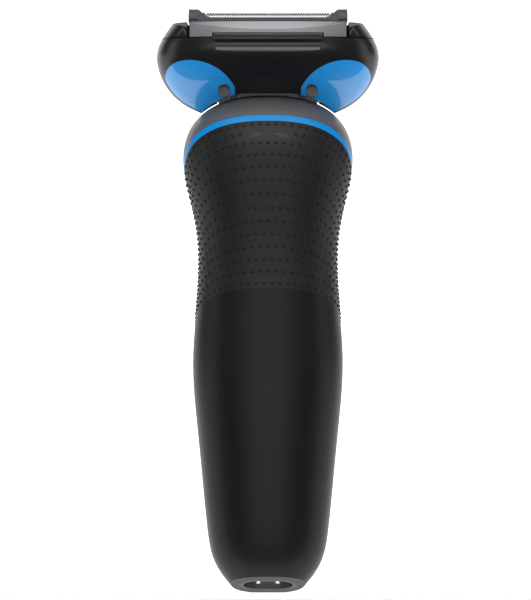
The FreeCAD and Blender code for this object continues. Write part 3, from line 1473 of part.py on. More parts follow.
def make_cutter(name, y):
    """Inner cutter: an arch of blades on a base with a bore for its peg."""
    radius = size.foil_radius - size.foil_thickness - size.cutter_gap
    low = foil_centre - size.cutter_leg
    half = size.cutter_half_length
    body = new_body("cutter_" + name)
    pad(body, "YZ_Plane", -half, half, ("arch", y, foil_centre, radius, size.cutter_wall, low))
    inner = radius - size.cutter_wall
    pad(body, "XY_Plane", low, low + size.cutter_base,
        rectangle(-half, half, y - inner, y + inner),
        ("circle", 0, y, size.peg_radius + size.peg_gap))
    node("cutter_" + name, body)


def make_springs(name, y):
    """Two coil springs between the tray and one cradle."""
    height = cradle_low - tray_top
    coils = []
    for side in (-1, 1):
        pitch = (float(height) - float(size.spring_wire)) / float(size.spring_turns)
        helix = Part.makeHelix(pitch, pitch * float(size.spring_turns), float(size.spring_radius))
        half = float(size.spring_wire) / 2
        near = float(size.spring_radius) - half
        far = near + 2 * half
        corners = ((near, -half), (far, -half), (far, half), (near, half), (near, -half))
        loop = Part.makePolygon([Vector(x, 0, z) for x, z in corners])
        coil = Part.Wire(helix.Edges).makePipeShell([loop], True, True)
        coil.translate(Vector(side * float(size.spring_side), float(y), float(tray_top) + half))
        coils.append(coil)
    node("float_springs_" + name, shaped(Part.Compound(coils)))


def make_trimmer():
    """Trimmer between the foils: holder, comb and moving blade."""
    deep = size.trimmer_half_depth
    wide = size.trimmer_half_width
    top = foil_top - size.trimmer_drop
    guard = size.guard_thickness
    comb_low = top - size.guard_height
    inner = deep - guard
    end = wide - size.cradle_end_wall
    body = new_body("trimmer_holder")
    pad(body, "XY_Plane", cradle_low, comb_low,
        rectangle(-wide, wide, -deep, deep), rectangle(-end, end, -inner, inner))
    node("trimmer_holder", body)
    body = new_body("trimmer_comb")
    channel = [(-deep, comb_low), (guard - deep, comb_low), (guard - deep, top - guard),
               (deep - guard, top - guard), (deep - guard, comb_low), (deep, comb_low),
               (deep, top), (-deep, top)]
    pad(body, "YZ_Plane", -wide, wide, ("polygon", channel))
    cut_teeth(body, wide, deep + guard, top)
    node("trimmer_comb", body)
    body = new_body("trimmer_blade")
    gap = guard + size.blade_gap
    roof = top - gap
    side = deep - gap
    low = foil_centre - size.cutter_leg
    half = size.blade_half_width
    channel = [(-side, low), (side, low), (side, roof), (side - guard, roof),
               (side - guard, low + size.cutter_base), (guard - side, low + size.cutter_base),
               (guard - side, roof), (-side, roof)]
    pad(body, "YZ_Plane", -half, half, ("polygon", channel))
    cut_teeth(body, half, side + guard, roof)
    pocket(body, "XY_Plane", low, low + size.cutter_base,
           ("circle", 0, 0, size.trimmer_peg_radius + size.peg_gap))
    node("trimmer_blade", body)


def cut_teeth(body, half_length, half_depth, top):
    """Slots across a comb, one pitch apart over its whole length."""
    first = size.tooth_pitch - half_length
    slot = pocket(body, "XY_Plane", top - size.tooth_depth, top,
                  rectangle(first, first + size.tooth_slot, -half_depth, half_depth))
    pattern = body.newObject("PartDesign::LinearPattern", "teeth")
    pattern.Originals = [slot]
    plane = next(item for item in body.Origin.OriginFeatures if item.Role == "X_Axis")
    pattern.Direction = (plane, [""])
    run = half_length * 2 - size.tooth_pitch * 2 - size.tooth_slot
    count = 1 + int(float(run) / float(size.tooth_pitch))
    bind(pattern, Length=size.tooth_pitch * (count - 1))
    pattern.Occurrences = count
    body.Tip = pattern


# ----------------------------------------------------------------------------------------
# Build, check and write.
# ----------------------------------------------------------------------------------------

for make in (make_shells, make_skins, make_ring, make_top_plate, make_inlet, make_indicator,
             make_chassis, make_board, make_battery, make_motor_frame, make_stator,
             make_armature, make_counter_mass, make_button, make_neck, make_yoke, make_link,
             make_head_housing, make_head_base, make_drive_bridge, make_cassette_frame,
             make_tray, make_end_cheeks, make_release_buttons, make_foils, make_trimmer):
    make()
doc.recompute()

for item in doc.Objects:
    if "Invalid" in item.State or "Error" in item.State:
        raise RuntimeError(f"{item.Name} ({item.Label}) is {item.State}")
for label, piece in NODES.items():
    if piece.Shape.isNull() or not piece.Shape.isValid() or not piece.Shape.Solids:
        raise RuntimeError(f"{label} has no valid shape")

os.makedirs("parts", exist_ok=True)
for label, piece in NODES.items():
    piece.Shape.exportStep(f"parts/{label}.step")
print(f"{len(NODES)} sub-parts written")
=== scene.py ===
import math

import bmesh
import bpy
from mathutils import Matrix, Vector
from mathutils.bvhtree import BVHTree


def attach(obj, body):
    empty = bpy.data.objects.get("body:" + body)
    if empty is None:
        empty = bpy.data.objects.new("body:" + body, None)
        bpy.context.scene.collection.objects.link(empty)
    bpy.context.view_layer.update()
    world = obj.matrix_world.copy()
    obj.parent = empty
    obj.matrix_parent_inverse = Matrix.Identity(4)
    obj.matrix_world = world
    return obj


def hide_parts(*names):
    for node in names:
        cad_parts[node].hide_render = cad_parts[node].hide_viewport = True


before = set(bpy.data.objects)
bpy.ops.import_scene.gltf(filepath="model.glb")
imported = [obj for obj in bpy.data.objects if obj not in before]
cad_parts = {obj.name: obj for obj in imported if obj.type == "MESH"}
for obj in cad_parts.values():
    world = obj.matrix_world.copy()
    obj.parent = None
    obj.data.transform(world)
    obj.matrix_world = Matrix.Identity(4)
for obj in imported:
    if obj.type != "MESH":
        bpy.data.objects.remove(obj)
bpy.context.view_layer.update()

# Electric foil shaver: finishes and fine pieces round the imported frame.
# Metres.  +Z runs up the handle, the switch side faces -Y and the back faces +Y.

bl_info = {
    "name": "Foil shaver",
    "version": (1, 0, 0),
    "blender": (4, 5, 0),
    "location": "3D View > Sidebar > Shaver",
    "description": "Finishes and fine pieces of an electric foil shaver",
    "category": "Object",
}

MM = 0.001


# ----------------------------------------------------------------------------------------
# Places read from the frame.
# ----------------------------------------------------------------------------------------

def node_points(name):
    """All corners of a CAD node's mesh."""
    return [vertex.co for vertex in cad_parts[name].data.vertices]


def lowest_plane(name, slope):
    """Height at y = 0 of the lowest plane that meets a node and rises by slope towards +Y."""
    return min(point.z - slope * point.y for point in node_points(name))


def box(name):
    """Lowest and highest corner of a CAD node."""
    points = node_points(name)
    low = Vector([min(point[axis] for point in points) for axis in range(3)])
    high = Vector([max(point[axis] for point in points) for axis in range(3)])
    return low, high


# The ring and the lower edge of the grip lie in planes that rise towards the back.
RING_SLOPE = math.tan(math.radians(50.0))
RING_LOW = lowest_plane("accent_ring", RING_SLOPE)
GRIP_SLOPE = math.tan(math.radians(31.5))
GRIP_LOW = lowest_plane("grip_sleeve", GRIP_SLOPE)

# The two crescents on the back, and the patch without nubs round them.
CRESCENT_INNER = 1.8 * MM
CRESCENT_OUTER = 5.7 * MM
CRESCENT_HEIGHT = 129.2 * MM
BARE_HALF_WIDTH = CRESCENT_OUTER + 0.7 * MM
BARE_LOW = CRESCENT_HEIGHT - 1.6 * MM
BARE_HIGH = CRESCENT_HEIGHT + 1.4 * MM


# ----------------------------------------------------------------------------------------
# Modelling helpers.
# ----------------------------------------------------------------------------------------

def deselect():
    """Nothing selected and nothing active."""
    for item in list(bpy.context.selected_objects):
        item.select_set(False)
    bpy.context.view_layer.objects.active = None


def only(piece):
    """Select one object and make it active."""
    deselect()
    piece.select_set(True)
    bpy.context.view_layer.objects.active = piece
    return piece


def start(operator, **settings):
    """Add a primitive by its operator and return the new object."""
    deselect()
    operator(**settings)
    return bpy.context.active_object


def edit(piece):
    """Enter edit mode with nothing selected and return the edit mesh."""
    only(piece)
    bpy.ops.object.mode_set(mode="EDIT")
    bpy.ops.mesh.select_mode(type="FACE")
    bpy.ops.mesh.select_all(action="DESELECT")
    return bmesh.from_edit_mesh(piece.data)


def pick(piece, shape, test):
    """Select the faces that pass a test of their middle and normal."""
    for face in shape.faces:
        face.select_set(test(face.calc_center_median(), face.normal))
    bmesh.update_edit_mesh(piece.data)


def leave():
    """Back to object mode."""
    bpy.ops.object.mode_set(mode="OBJECT")


def settle(piece):
    """Put an object's place, turn and size into its mesh."""
    only(piece)
    bpy.ops.object.transform_apply(location=True, rotation=True, scale=True)
    return piece


def finish_with(piece, kind, **settings):
    """Add a modifier and apply it."""
    only(piece)
    modifier = piece.modifiers.new(kind.title(), kind)
    for name, value in settings.items():
        setattr(modifier, name, value)
    bpy.ops.object.modifier_apply(modifier=modifier.name)
    return piece


def smooth(piece, angle):
    """Shade smooth across edges that turn by less than an angle in degrees."""
    only(piece)
    bpy.ops.object.shade_smooth_by_angle(angle=math.radians(angle))
    return piece


def round_edges(piece, width, segments):
    """Bevel the sharp edges and shade the rest smooth."""
    finish_with(piece, "BEVEL", width=width, segments=segments, limit_method="ANGLE",
                angle_limit=math.radians(35), harden_normals=False)
    return smooth(piece, 40)


def plain_block(low, high):
    """A sharp box between two corners."""
    piece = start(bpy.ops.mesh.primitive_cube_add, size=1.0,
                  location=(Vector(low) + Vector(high)) / 2)
    piece.scale = Vector(high) - Vector(low)
    return settle(piece)


def rounded_block(low, high, width, segments):
    """A box between two corners with rounded edges."""
    return round_edges(plain_block(low, high), width, segments)


def boolean(piece, tool, operation):
    """Combine a piece with a tool and remove the tool."""
    finish_with(piece, "BOOLEAN", object=tool, operation=operation, solver="EXACT")
    bpy.data.objects.remove(tool)
    return piece


def upright_sheet(left, right, edges, depth, facing, columns, rows):
    """A grid at a depth y that faces +Y (1) or -Y (-1); edges gives its lowest and highest z at an x."""
    sheet = start(bpy.ops.mesh.primitive_grid_add, x_subdivisions=columns, y_subdivisions=rows,
                  size=1.0, location=(0, 0, 0))
    for vertex in sheet.data.vertices:
        x = left + (vertex.co.x + 0.5) * (right - left)
        low, high = edges(x)
        vertex.co = Vector((x, depth, low + (vertex.co.y + 0.5) * (high - low)))
    shape = edit(sheet)
    pick(sheet, shape, lambda middle, normal: True)
    if shape.faces[:][0].normal.y * facing < 0:
        bpy.ops.mesh.flip_normals()
    leave()
    return sheet


def skin(target, left, right, edges, facing, columns, rows, proud, thickness):
    """A thin skin laid on a node from outside, standing proud of it."""
    outside = facing * 40 * MM
    sheet = upright_sheet(left, right, edges, outside, facing, columns, rows)
    finish_with(sheet, "SHRINKWRAP", target=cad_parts[target], wrap_method="PROJECT",
                use_project_y=True, use_negative_direction=True, use_positive_direction=True,
                offset=proud)
    finish_with(sheet, "SOLIDIFY", thickness=thickness, offset=-1.0)
    return smooth(sheet, 35)


def wall(left, right, edges, near, far, columns):
    """An upright wall between two depths; edges gives its lowest and highest z at an x."""
    sheet = upright_sheet(left, right, edges, far, 1, columns, 1)
    return finish_with(sheet, "SOLIDIFY", thickness=far - near, offset=-1.0)


def joined(pieces):
    """Join objects into the first."""
    deselect()
    for piece in pieces:
        piece.select_set(True)
    bpy.context.view_layer.objects.active = pieces[0]
    bpy.ops.object.join()
    return bpy.context.active_object


def copies(pattern, places, name):
    """One mesh object with the pattern's mesh repeated at each matrix."""
    vertices = [vertex.co.copy() for vertex in pattern.data.vertices]
    faces = [tuple(face.vertices) for face in pattern.data.polygons]
    points = []
    sides = []
    for place in places:
        first = len(points)
        points.extend(place @ vertex for vertex in vertices)
        sides.extend(tuple(first + corner for corner in face) for face in faces)
    mesh = bpy.data.meshes.new(name)
    mesh.from_pydata(points, [], sides)
    piece = bpy.data.objects.new(name, mesh)
    bpy.context.scene.collection.objects.link(piece)
    bpy.data.objects.remove(pattern)
    return piece


# Finishes by name, filled in by make_finishes.
FINISHES = {}


def complete(piece, name, body, slot, finish, *replaced):
    """Name a finished piece, give it its finish, and hang it on its body."""
    piece.name = name
    piece.data.name = name
    piece.data.materials.clear()
    piece.data.materials.append(FINISHES[finish])
    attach(piece, body)
    if replaced:
        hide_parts(*replaced)
    return piece


# ----------------------------------------------------------------------------------------
# Materials.
# ----------------------------------------------------------------------------------------

def linear(colour):
    """An sRGB hex colour, or three channels that are linear already, as linear RGBA."""
    if not isinstance(colour, str):
        return (*colour, 1.0)
    channels = [int(colour[place:place + 2], 16) / 255 for place in (1, 3, 5)]
    curve = [c / 12.92 if c <= 0.04045 else ((c + 0.055) / 1.055) ** 2.4 for c in channels]
    return (*curve, 1.0)


def lift(colour):
    """The slightly lighter second tone of a colour given as linear channels."""
    return [1.07 * channel + 0.001 for channel in colour]


def add_node(tree, kind, inputs=None, **settings):
    """Add a node with its settings; inputs hold socket values or sockets to link from."""
    node = tree.nodes.new(kind)
    for name, value in settings.items():
        setattr(node, name, value)
    for name, value in (inputs or {}).items():
        if isinstance(value, bpy.types.NodeSocket):
            tree.links.new(value, node.inputs[name])
        else:
            node.inputs[name].default_value = value
    return node


def blank(name):
    """A new node material with only its output, and the object coordinates."""
    finish = bpy.data.materials.new(name)
    finish.use_nodes = True
    tree = finish.node_tree
    tree.nodes.clear()
    output = add_node(tree, "ShaderNodeOutputMaterial")
    place = add_node(tree, "ShaderNodeTexCoord").outputs["Object"]
    return finish, tree, output, place


def surface(name, colour, shade, roughness, spread, grain, depth, **sockets):
    """A surface whose colour and roughness drift slowly, with a fine grain.

    colour and shade are the two ends of its tone, roughness its mean and spread how far
    it varies, grain the grain's size and depth its relief, both in millimetres.
    """
    finish, tree, output, place = blank(name)
    patch = 9 * MM
    drift = add_node(tree, "ShaderNodeTexNoise", {"Vector": place, "Scale": 1 / patch, "Detail": 3.0})
    fine = add_node(tree, "ShaderNodeTexNoise",
                    {"Vector": place, "Scale": 1 / (grain * MM), "Detail": 2.0, "Roughness": 0.6})
    tone = add_node(tree, "ShaderNodeMix", {"Factor": drift.outputs["Fac"]}, data_type="RGBA")
    tone.inputs["A"].default_value = linear(colour)
    tone.inputs["B"].default_value = linear(shade)
    rough = add_node(tree, "ShaderNodeMapRange",
                     {"Value": fine.outputs["Fac"], "From Min": 0.3, "From Max": 0.7,
                      "To Min": roughness - spread, "To Max": roughness + spread})
    relief = add_node(tree, "ShaderNodeBump",
                      {"Height": fine.outputs["Fac"], "Strength": 0.6, "Distance": depth * MM})
    shader = add_node(tree, "ShaderNodeBsdfPrincipled",
                      {"Base Color": tone.outputs["Result"], "Roughness": rough.outputs["Result"],
                       "Normal": relief.outputs["Normal"], **sockets})
    tree.links.new(shader.outputs["BSDF"], output.inputs["Surface"])
    return finish


def brushed(name, colour, shade, roughness, line, along="X", **sockets):
    """A metal with fine parallel lines of a width in millimetres, drawn along one axis."""
    finish, tree, output, place = blank(name)
    spread = 0.08
    depth = 0.01 * MM
    stretch = Vector((1, 1, 1))
    stretch["XYZ".index(along)] = 0.04
    turned = add_node(tree, "ShaderNodeMapping", {"Vector": place, "Scale": stretch})
    lines = add_node(tree, "ShaderNodeTexNoise",
                     {"Vector": turned.outputs["Vector"], "Scale": 1 / (line * MM), "Detail": 2.0})
    tone = add_node(tree, "ShaderNodeMix", {"Factor": lines.outputs["Fac"]}, data_type="RGBA")
    tone.inputs["A"].default_value = linear(colour)
    tone.inputs["B"].default_value = linear(shade)
    rough = add_node(tree, "ShaderNodeMapRange",
                     {"Value": lines.outputs["Fac"], "To Min": roughness - spread,
                      "To Max": roughness + spread})
    relief = add_node(tree, "ShaderNodeBump",
                      {"Height": lines.outputs["Fac"], "Strength": 0.25, "Distance": depth})
    shader = add_node(tree, "ShaderNodeBsdfPrincipled",
                      {"Base Color": tone.outputs["Result"], "Roughness": rough.outputs["Result"],
                       "Normal": relief.outputs["Normal"], "Metallic": 1.0, **sockets})
    tree.links.new(shader.outputs["BSDF"], output.inputs["Surface"])
    return finish


def make_finishes(colours):
    """Every finish of the shaver, by the name that the pieces use."""
    # Black ABS with a fine spark-eroded texture: dull, with broad soft reflections.
    FINISHES["shell"] = surface("abs_spark_eroded", colours.shell, lift(colours.shell),
                                0.44, 0.05, 0.5, 0.012, **{"Specular IOR Level": 0.22})
    # Thermoplastic elastomer, moulded over the shell: duller than the shell and a shade lighter.
    FINISHES["grip"] = surface("elastomer_matte", colours.grip, lift(colours.grip),
                               0.5, 0.05, 0.45, 0.012, **{"Specular IOR Level": 0.28})
    # The nubs are of the same rubber, left glossier by the mould. Their darker colour is painted shade,
    # for the shaded sides of the nubs; the crescents take it too.
    FINISHES["nub"] = surface("elastomer_nubs_painted_shade", "#0b0c0c", "#0f1010", 0.42, 0.04, 0.45, 0.006,
                              **{"Specular IOR Level": 0.3})
    # The neck's dome is smoother matte ABS. Its mid grey is partly painted light: lighter than its own
    # dark plastic, for the light that falls on its top under the head.
    FINISHES["neck"] = surface("abs_satin_dome_painted_light", "#535456", "#58595b", 0.4, 0.03, 0.4, 0.006)
    # The head is satin-polished ABS, near black, with clear but soft reflections.
    FINISHES["head"] = surface("abs_satin_black", "#121314", "#161718", 0.32, 0.03, 0.4, 0.004,
                               **{"Specular IOR Level": 0.4})
    # Piano-black front panel: polished ABS that mirrors the room.
    FINISHES["panel"] = surface("abs_piano_black", "#08090a", "#0b0c0d", 0.08, 0.02, 1.5, 0.002)
    # Blue ABS ring, satin-moulded: an even band of colour with hardly a highlight.
    FINISHES["ring"] = surface("abs_satin_blue", colours.ring, lift(colours.ring),
                               0.36, 0.03, 0.4, 0.004, **{"Specular IOR Level": 0.25})
    # Fenders of blue ABS under a clear coat: the colour is soft and the gloss lies over it.
    FINISHES["fender"] = surface("clear_coated_blue", colours.fender, lift(colours.fender),
                                 0.4, 0.03, 0.35, 0.001, **{"Coat Weight": 1.0, "Coat Roughness": 0.04})
    # Dark grey ABS of the cassette frame, satin-moulded: lighter than the head round it.
    FINISHES["frame"] = surface("abs_satin_grey", "#66676a", "#6c6d70", 0.36, 0.03, 0.4, 0.005)
    # Dull grey ABS of the cradles and cheeks: soft edges of light and no gloss.
    FINISHES["cheek"] = surface("abs_dull_grey", "#3d3e40", "#434446", 0.42, 0.03, 0.4, 0.006)
    # Silver paint with metal flakes on the trims: a bright even sheen, duller than bare metal.
    FINISHES["silver"] = surface("silver_paint", "#7a7c7e", "#838587", 0.44, 0.04, 0.3, 0.003,
                                 **{"Metallic": 0.6})
    # Electroformed nickel foil: bright metal, drawn along the head.
    FINISHES["foil"] = brushed("nickel_foil", "#d2d2d2", "#dededd", 0.24, 0.25, "X")
    # Ground stainless steel of the blades and the comb: fine lines across the head.
    FINISHES["blade"] = brushed("ground_stainless", "#b4b5b7", "#c6c7c8", 0.3, 0.2, "Y")
    # Zinc-plated steel of frames, pins and screws: a dull cool grey metal.
    FINISHES["steel"] = brushed("zinc_plated_steel", "#9c9da0", "#adaeb1", 0.36, 0.3, "Z")
    # Polished nickel plate of the inlet's pins and the button's ring: nearly a mirror.
    FINISHES["plated"] = brushed("polished_nickel", "#d8d8d6", "#e0e0de", 0.14, 0.3, "Z")
    # Enamelled copper wire of the winding: a reddish metal in fine turns.
    FINISHES["copper"] = brushed("enamelled_copper", "#a8552a", "#c8743c", 0.32, 0.4, "Z")
    # Turned brass of the counter mass: a warm yellow metal with tool marks.
    FINISHES["brass"] = brushed("turned_brass", "#b08d4c", "#c4a25f", 0.3, 0.3, "X")
    # Glass-filled nylon of the inner parts, moulded: grey, rough and without gloss.
    FINISHES["inner"] = surface("pa_glass_filled", "#3a3b3d", "#434446", 0.55, 0.05, 0.4, 0.01)
    # Moulded white acetal of the drive parts: waxy and even.
    FINISHES["acetal"] = surface("acetal_white", "#d9d8d2", "#e2e1db", 0.38, 0.04, 0.5, 0.004)
    # Moulded black silicone of the seals: the dullest black.
    FINISHES["seal"] = surface("silicone_black", "#1a1a1b", "#202021", 0.6, 0.05, 0.5, 0.006)
    # Moulded black PBT of the inlet block: matte, and darker than the shell's sheen.
    FINISHES["socket"] = surface("pbt_black", "#141415", "#191a1b", 0.45, 0.04, 0.4, 0.006)
    # Polished black ABS of the power button: a clear reflection, softer than the panel's.
    FINISHES["button"] = surface("abs_gloss_button", "#0d0e10", "#111214", 0.16, 0.03, 0.8, 0.002)
    # Circuit board of FR-4 under green solder mask: smooth and glossy.
    FINISHES["board"] = surface("fr4_solder_mask", "#0f3d22", "#15502d", 0.3, 0.05, 0.8, 0.01)
    # Shrunk PVC sleeve of the cell: blue, tight and a little glossy.
    FINISHES["cell"] = surface("pvc_sleeve_blue", "#1c4a78", "#23588c", 0.34, 0.04, 1.2, 0.01)
    # Epoxy of the diodes, cast: pale yellow and smooth.
    FINISHES["diode"] = surface("led_package", "#e8e6cf", "#f2f0dc", 0.3, 0.04, 0.3, 0.004)
    # Polished clear acrylic of the light guides: glassy, with what lies behind showing through.
    FINISHES["lens"] = surface("acrylic_clear", "#dfe7ee", "#e8eff5", 0.08, 0.02, 1.0, 0.001,
                               **{"Transmission Weight": 0.8, "IOR": 1.49})


NODE_FINISHES = {
    "rear_shell": "shell", "front_shell": "shell", "grip_sleeve": "grip", "front_panel": "panel",
    "accent_ring": "ring", "top_plate": "inner", "drive_diaphragm": "seal", "inlet_block": "socket",
    "inlet_pins": "plated", "inlet_seal": "seal", "indicator_lenses": "lens",
    "indicator_leds": "diode", "chassis": "inner", "circuit_board": "board",
    "board_screws": "steel", "tactile_switch": "steel", "battery_cell": "cell",
    "battery_tabs": "plated", "motor_frame": "steel", "guide_rods": "steel",
    "motor_core": "steel", "motor_coil": "copper", "button_bezel": "plated",
    "button_membrane": "seal", "power_button": "button", "armature": "steel",
    "counter_mass": "brass", "neck_shroud": "neck", "neck_base": "inner",
    "swivel_yoke": "inner", "neck_link": "acetal", "head_housing": "head",
    "head_base": "inner", "tilt_pins": "steel", "fender_rear_right": "fender",
    "fender_rear_left": "fender", "fender_front_left": "fender",
    "fender_front_right": "fender", "fender_studs": "inner", "drive_bridge": "acetal",
    "cassette_frame": "frame", "frame_trims": "silver", "thumb_bars": "head",
    "cassette_tray": "inner", "end_cheek_left": "cheek", "end_cheek_right": "cheek",
    "float_springs_front": "steel", "float_springs_rear": "steel",
    "release_button_left": "head", "release_button_right": "head", "foil_front": "foil",
    "foil_rear": "foil", "foil_cradle_front": "cheek", "foil_cradle_rear": "cheek",
    "cutter_front": "blade", "cutter_rear": "blade", "trimmer_holder": "cheek",
    "trimmer_comb": "blade", "trimmer_blade": "blade",
}


# ----------------------------------------------------------------------------------------
# Operators.
# ----------------------------------------------------------------------------------------

class ShaverSizes(bpy.types.PropertyGroup):
    """Sizes that a user would change."""

    nub_pitch: bpy.props.FloatProperty(
        name="Nub pitch", description="Between two grip nubs in a row", default=2.2 * MM,
        unit="LENGTH")
    nub_row: bpy.props.FloatProperty(
        name="Row pitch", description="Between two rows of grip nubs", default=2.6 * MM,
        unit="LENGTH")
    nub_radius: bpy.props.FloatProperty(
        name="Nub radius", description="Radius of a grip nub at its foot", default=0.46 * MM,
        unit="LENGTH")
    nub_height: bpy.props.FloatProperty(
        name="Nub height", description="How far a grip nub stands proud", default=0.28 * MM,
        unit="LENGTH")
    # A real foil's holes are too fine to show from arm's length, so the slots are this coarse.
    foil_pitch: bpy.props.FloatProperty(
        name="Foil pitch", description="Between two slots of a foil", default=0.75 * MM,
        unit="LENGTH")


def colour_property(name, description, colour):
    """A colour that a user would change, with its sRGB hex default."""
    return bpy.props.FloatVectorProperty(name=name, description=description, size=3, min=0.0,
                                         max=1.0, subtype="COLOR", default=linear(colour)[:3])


class ShaverColours(bpy.types.PropertyGroup):
    """Colours that a user would change."""

    shell: colour_property("Shell", "Lower handle", "#0f1011")
    grip: colour_property("Grip", "Soft grip sleeve", "#151617")
    ring: colour_property("Ring", "Accent ring under the dome", "#0087d2")
    fender: colour_property("Fenders", "Fenders under the head", "#069df0")


class SHAVER_OT_finishes(bpy.types.Operator):
    """Give every CAD node its finish"""

    bl_idname = "shaver.finishes"
    bl_label = "Finishes"

    def execute(self, context):
        make_finishes(context.scene.shaver_colours)
        for name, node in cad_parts.items():
            node.data.materials.clear()
            node.data.materials.append(FINISHES[NODE_FINISHES[name]])
        return {"FINISHED"}


def nub_pattern(radius, height):
    """One soft-edged nub, standing on the XY plane: its crown is narrower and a little domed."""
    crown = 0.8
    dome_reach = 0.4
    dome_rise = 0.15
    nub = start(bpy.ops.mesh.primitive_cylinder_add, vertices=10, radius=radius, depth=height,
                location=(0, 0, height / 2))
    settle(nub)
    shape = edit(nub)
    pick(nub, shape, lambda middle, normal: normal.z > 0.9)
    bpy.ops.transform.resize(value=(crown, crown, 1))
    bpy.ops.mesh.inset(thickness=radius * dome_reach, depth=height * dome_rise)
    leave()
    return nub


def grip_places(sizes):
    """A matrix for each nub: rows follow planes that turn from the ring's slope to the grip's."""
    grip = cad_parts["grip_sleeve"]
    tree = BVHTree.FromObject(grip, bpy.context.evaluated_depsgraph_get())
    margin = 1.5 * MM
    top = RING_LOW - margin
    bottom = GRIP_LOW + margin
    rows = int((top - bottom) / sizes.nub_row) + 1
    places = []
    for row in range(rows):
        share = row / (rows - 1)
        height = top + (bottom - top) * share
        slope = RING_SLOPE + (GRIP_SLOPE - RING_SLOPE) * share
        for side in (1, -1):
            places.extend(row_places(tree, height, slope, side, row % 2, sizes))
    return places


def row_places(tree, height, slope, side, odd, sizes):
    """Nub places of half a row, walking from the middle of the back round one side."""
    steps = 360
    sweep = math.radians(130)
    reach = 60 * MM
    least_facing = 0.2
    travelled = 0.0
    target = sizes.nub_pitch * (0.5 if odd else 0.0)
    last = None
    found = []
    for step in range(steps):
        turn = side * sweep * step / steps
        outward = Vector((math.sin(turn), math.cos(turn), slope * math.cos(turn)))
        centre = Vector((0, 0, height))
        point, normal, _, _ = tree.ray_cast(centre + outward * reach, -outward)
        if point is None:
            continue
        if last is not None:
            travelled += (point - last).length
        last = point
        if travelled < target:
            continue
        target += sizes.nub_pitch
        if side < 0 and step == 0:
            continue
        if normal.dot(outward) < least_facing:
            continue
        if abs(point.x) < BARE_HALF_WIDTH and BARE_LOW < point.z < BARE_HIGH and point.y > 0:
            continue
        turned = normal.to_track_quat("Z", "Y").to_matrix().to_4x4()
        found.append(Matrix.Translation(point) @ turned)
    return found


class SHAVER_OT_grip_nubs(bpy.types.Operator):
    """Raised nubs in staggered rows over the soft grip"""

    bl_idname = "shaver.grip_nubs"
    bl_label = "Grip nubs"

    def execute(self, context):
        sizes = context.scene.shaver_sizes
        places = grip_places(sizes)
        nubs = copies(nub_pattern(sizes.nub_radius, sizes.nub_height), places, "grip_nubs")
        # The nubs take the darker finish, whose colour is painted shade.
        complete(smooth(nubs, 60), "grip_nubs", "handle", "grip_rubber", "nub")
        return {"FINISHED"}


class SHAVER_OT_crescents(bpy.types.Operator):
    """Two shallow crescents on the grip under the ring"""

    bl_idname = "shaver.crescents"
    bl_label = "Crescents"

    def execute(self, context):
        crescents = []
        for side in (-1, 1):
            x = sorted((side * CRESCENT_INNER, side * CRESCENT_OUTER))
            crescents.append(skin("grip_sleeve", x[0], x[1], crescent_edges, 1, 20, 2,
                                  0.05 * MM, 0.1 * MM))
        # The crescents take the nubs' darker finish, whose colour is painted shade.
        complete(joined(crescents), "grip_crescents", "handle", "grip_rubber", "nub")
        return {"FINISHED"}


def crescent_edges(x):
    """Lowest and highest z of a crescent: it droops outwards and narrows at both ends."""
    droop = 0.9 * MM
    widest = 0.55 * MM
    share = (abs(x) - CRESCENT_INNER) / (CRESCENT_OUTER - CRESCENT_INNER)
    height = CRESCENT_HEIGHT + 0.3 * MM - droop * share ** 2
    half = widest * math.sqrt(max(0.02, math.sin(math.pi * share)))
    return height - half, height + half


class SHAVER_OT_foils(bpy.types.Operator):
    """Slotted foils over the two cutters"""

    bl_idname = "shaver.foils"
    bl_label = "Foils"

    def execute(self, context):
        sizes = context.scene.shaver_sizes
        for side in ("front", "rear"):
            make_foil(side, sizes)
        return {"FINISHED"}


def half_hoop(centre, radius, thickness, width):
    """An arch along X: the upper half of a thin ring."""
    hoop = start(bpy.ops.mesh.primitive_cylinder_add, vertices=32, radius=radius, depth=width,
                 end_fill_type="NOTHING", rotation=(0, math.radians(90), 0), location=centre)
    settle(hoop)
    shape = edit(hoop)
    pick(hoop, shape, lambda middle, normal: middle.z < centre.z)
    bpy.ops.mesh.delete(type="FACE")
    leave()
    return finish_with(hoop, "SOLIDIFY", thickness=thickness, offset=-1.0)


def make_foil(side, sizes):
    """One foil: fine ribs over the arch between two solid ends, on solid legs."""
    low, high = box("foil_" + side)
    radius = (high.y - low.y) / 2
    centre = Vector((0, (low.y + high.y) / 2, high.z - radius))
    thickness = 0.15 * MM
    band = 1.2 * MM
    lap = 0.4 * MM
    rib_share = 0.55
    slotted = high.x - low.x - 2 * band
    pitch = sizes.foil_pitch
    count = int(slotted / pitch)
    first = low.x + band + (slotted - (count - 1) * pitch) / 2
    places = [Matrix.Translation((first + pitch * index, 0, 0)) for index in range(count)]
    pieces = [copies(half_hoop(centre, radius, thickness, pitch * rib_share), places, "ribs")]
    for x in (low.x + band / 2, high.x - band / 2):
        pieces.append(half_hoop(Vector((x, centre.y, centre.z)), radius, thickness, band))
    for near in (centre.y - radius, centre.y + radius - thickness):
        pieces.append(plain_block((low.x, near, low.z),
                                  (high.x, near + thickness, centre.z + lap)))
    complete(smooth(joined(pieces), 30), "slotted_foil_" + side, "foil_unit_" + side, "foil_steel",
             "foil", "foil_" + side)


class SHAVER_OT_thumb_bars(bpy.types.Operator):
    """Rounded thumb bars on both long sides of the cassette"""

    bl_idname = "shaver.thumb_bars"
    bl_label = "Thumb bars"

    def execute(self, context):
        low, high = box("thumb_bars")
        depth = 2.6 * MM
        bars = []
        for y in ((low.y, low.y + depth), (high.y - depth, high.y)):
            bars.append(rounded_block((low.x, y[0], low.z), (high.x, y[1], high.z), 0.6 * MM, 4))
        complete(joined(bars), "rounded_thumb_bars", "cassette", "frame_plastic",
                 "head", "thumb_bars")
        return {"FINISHED"}


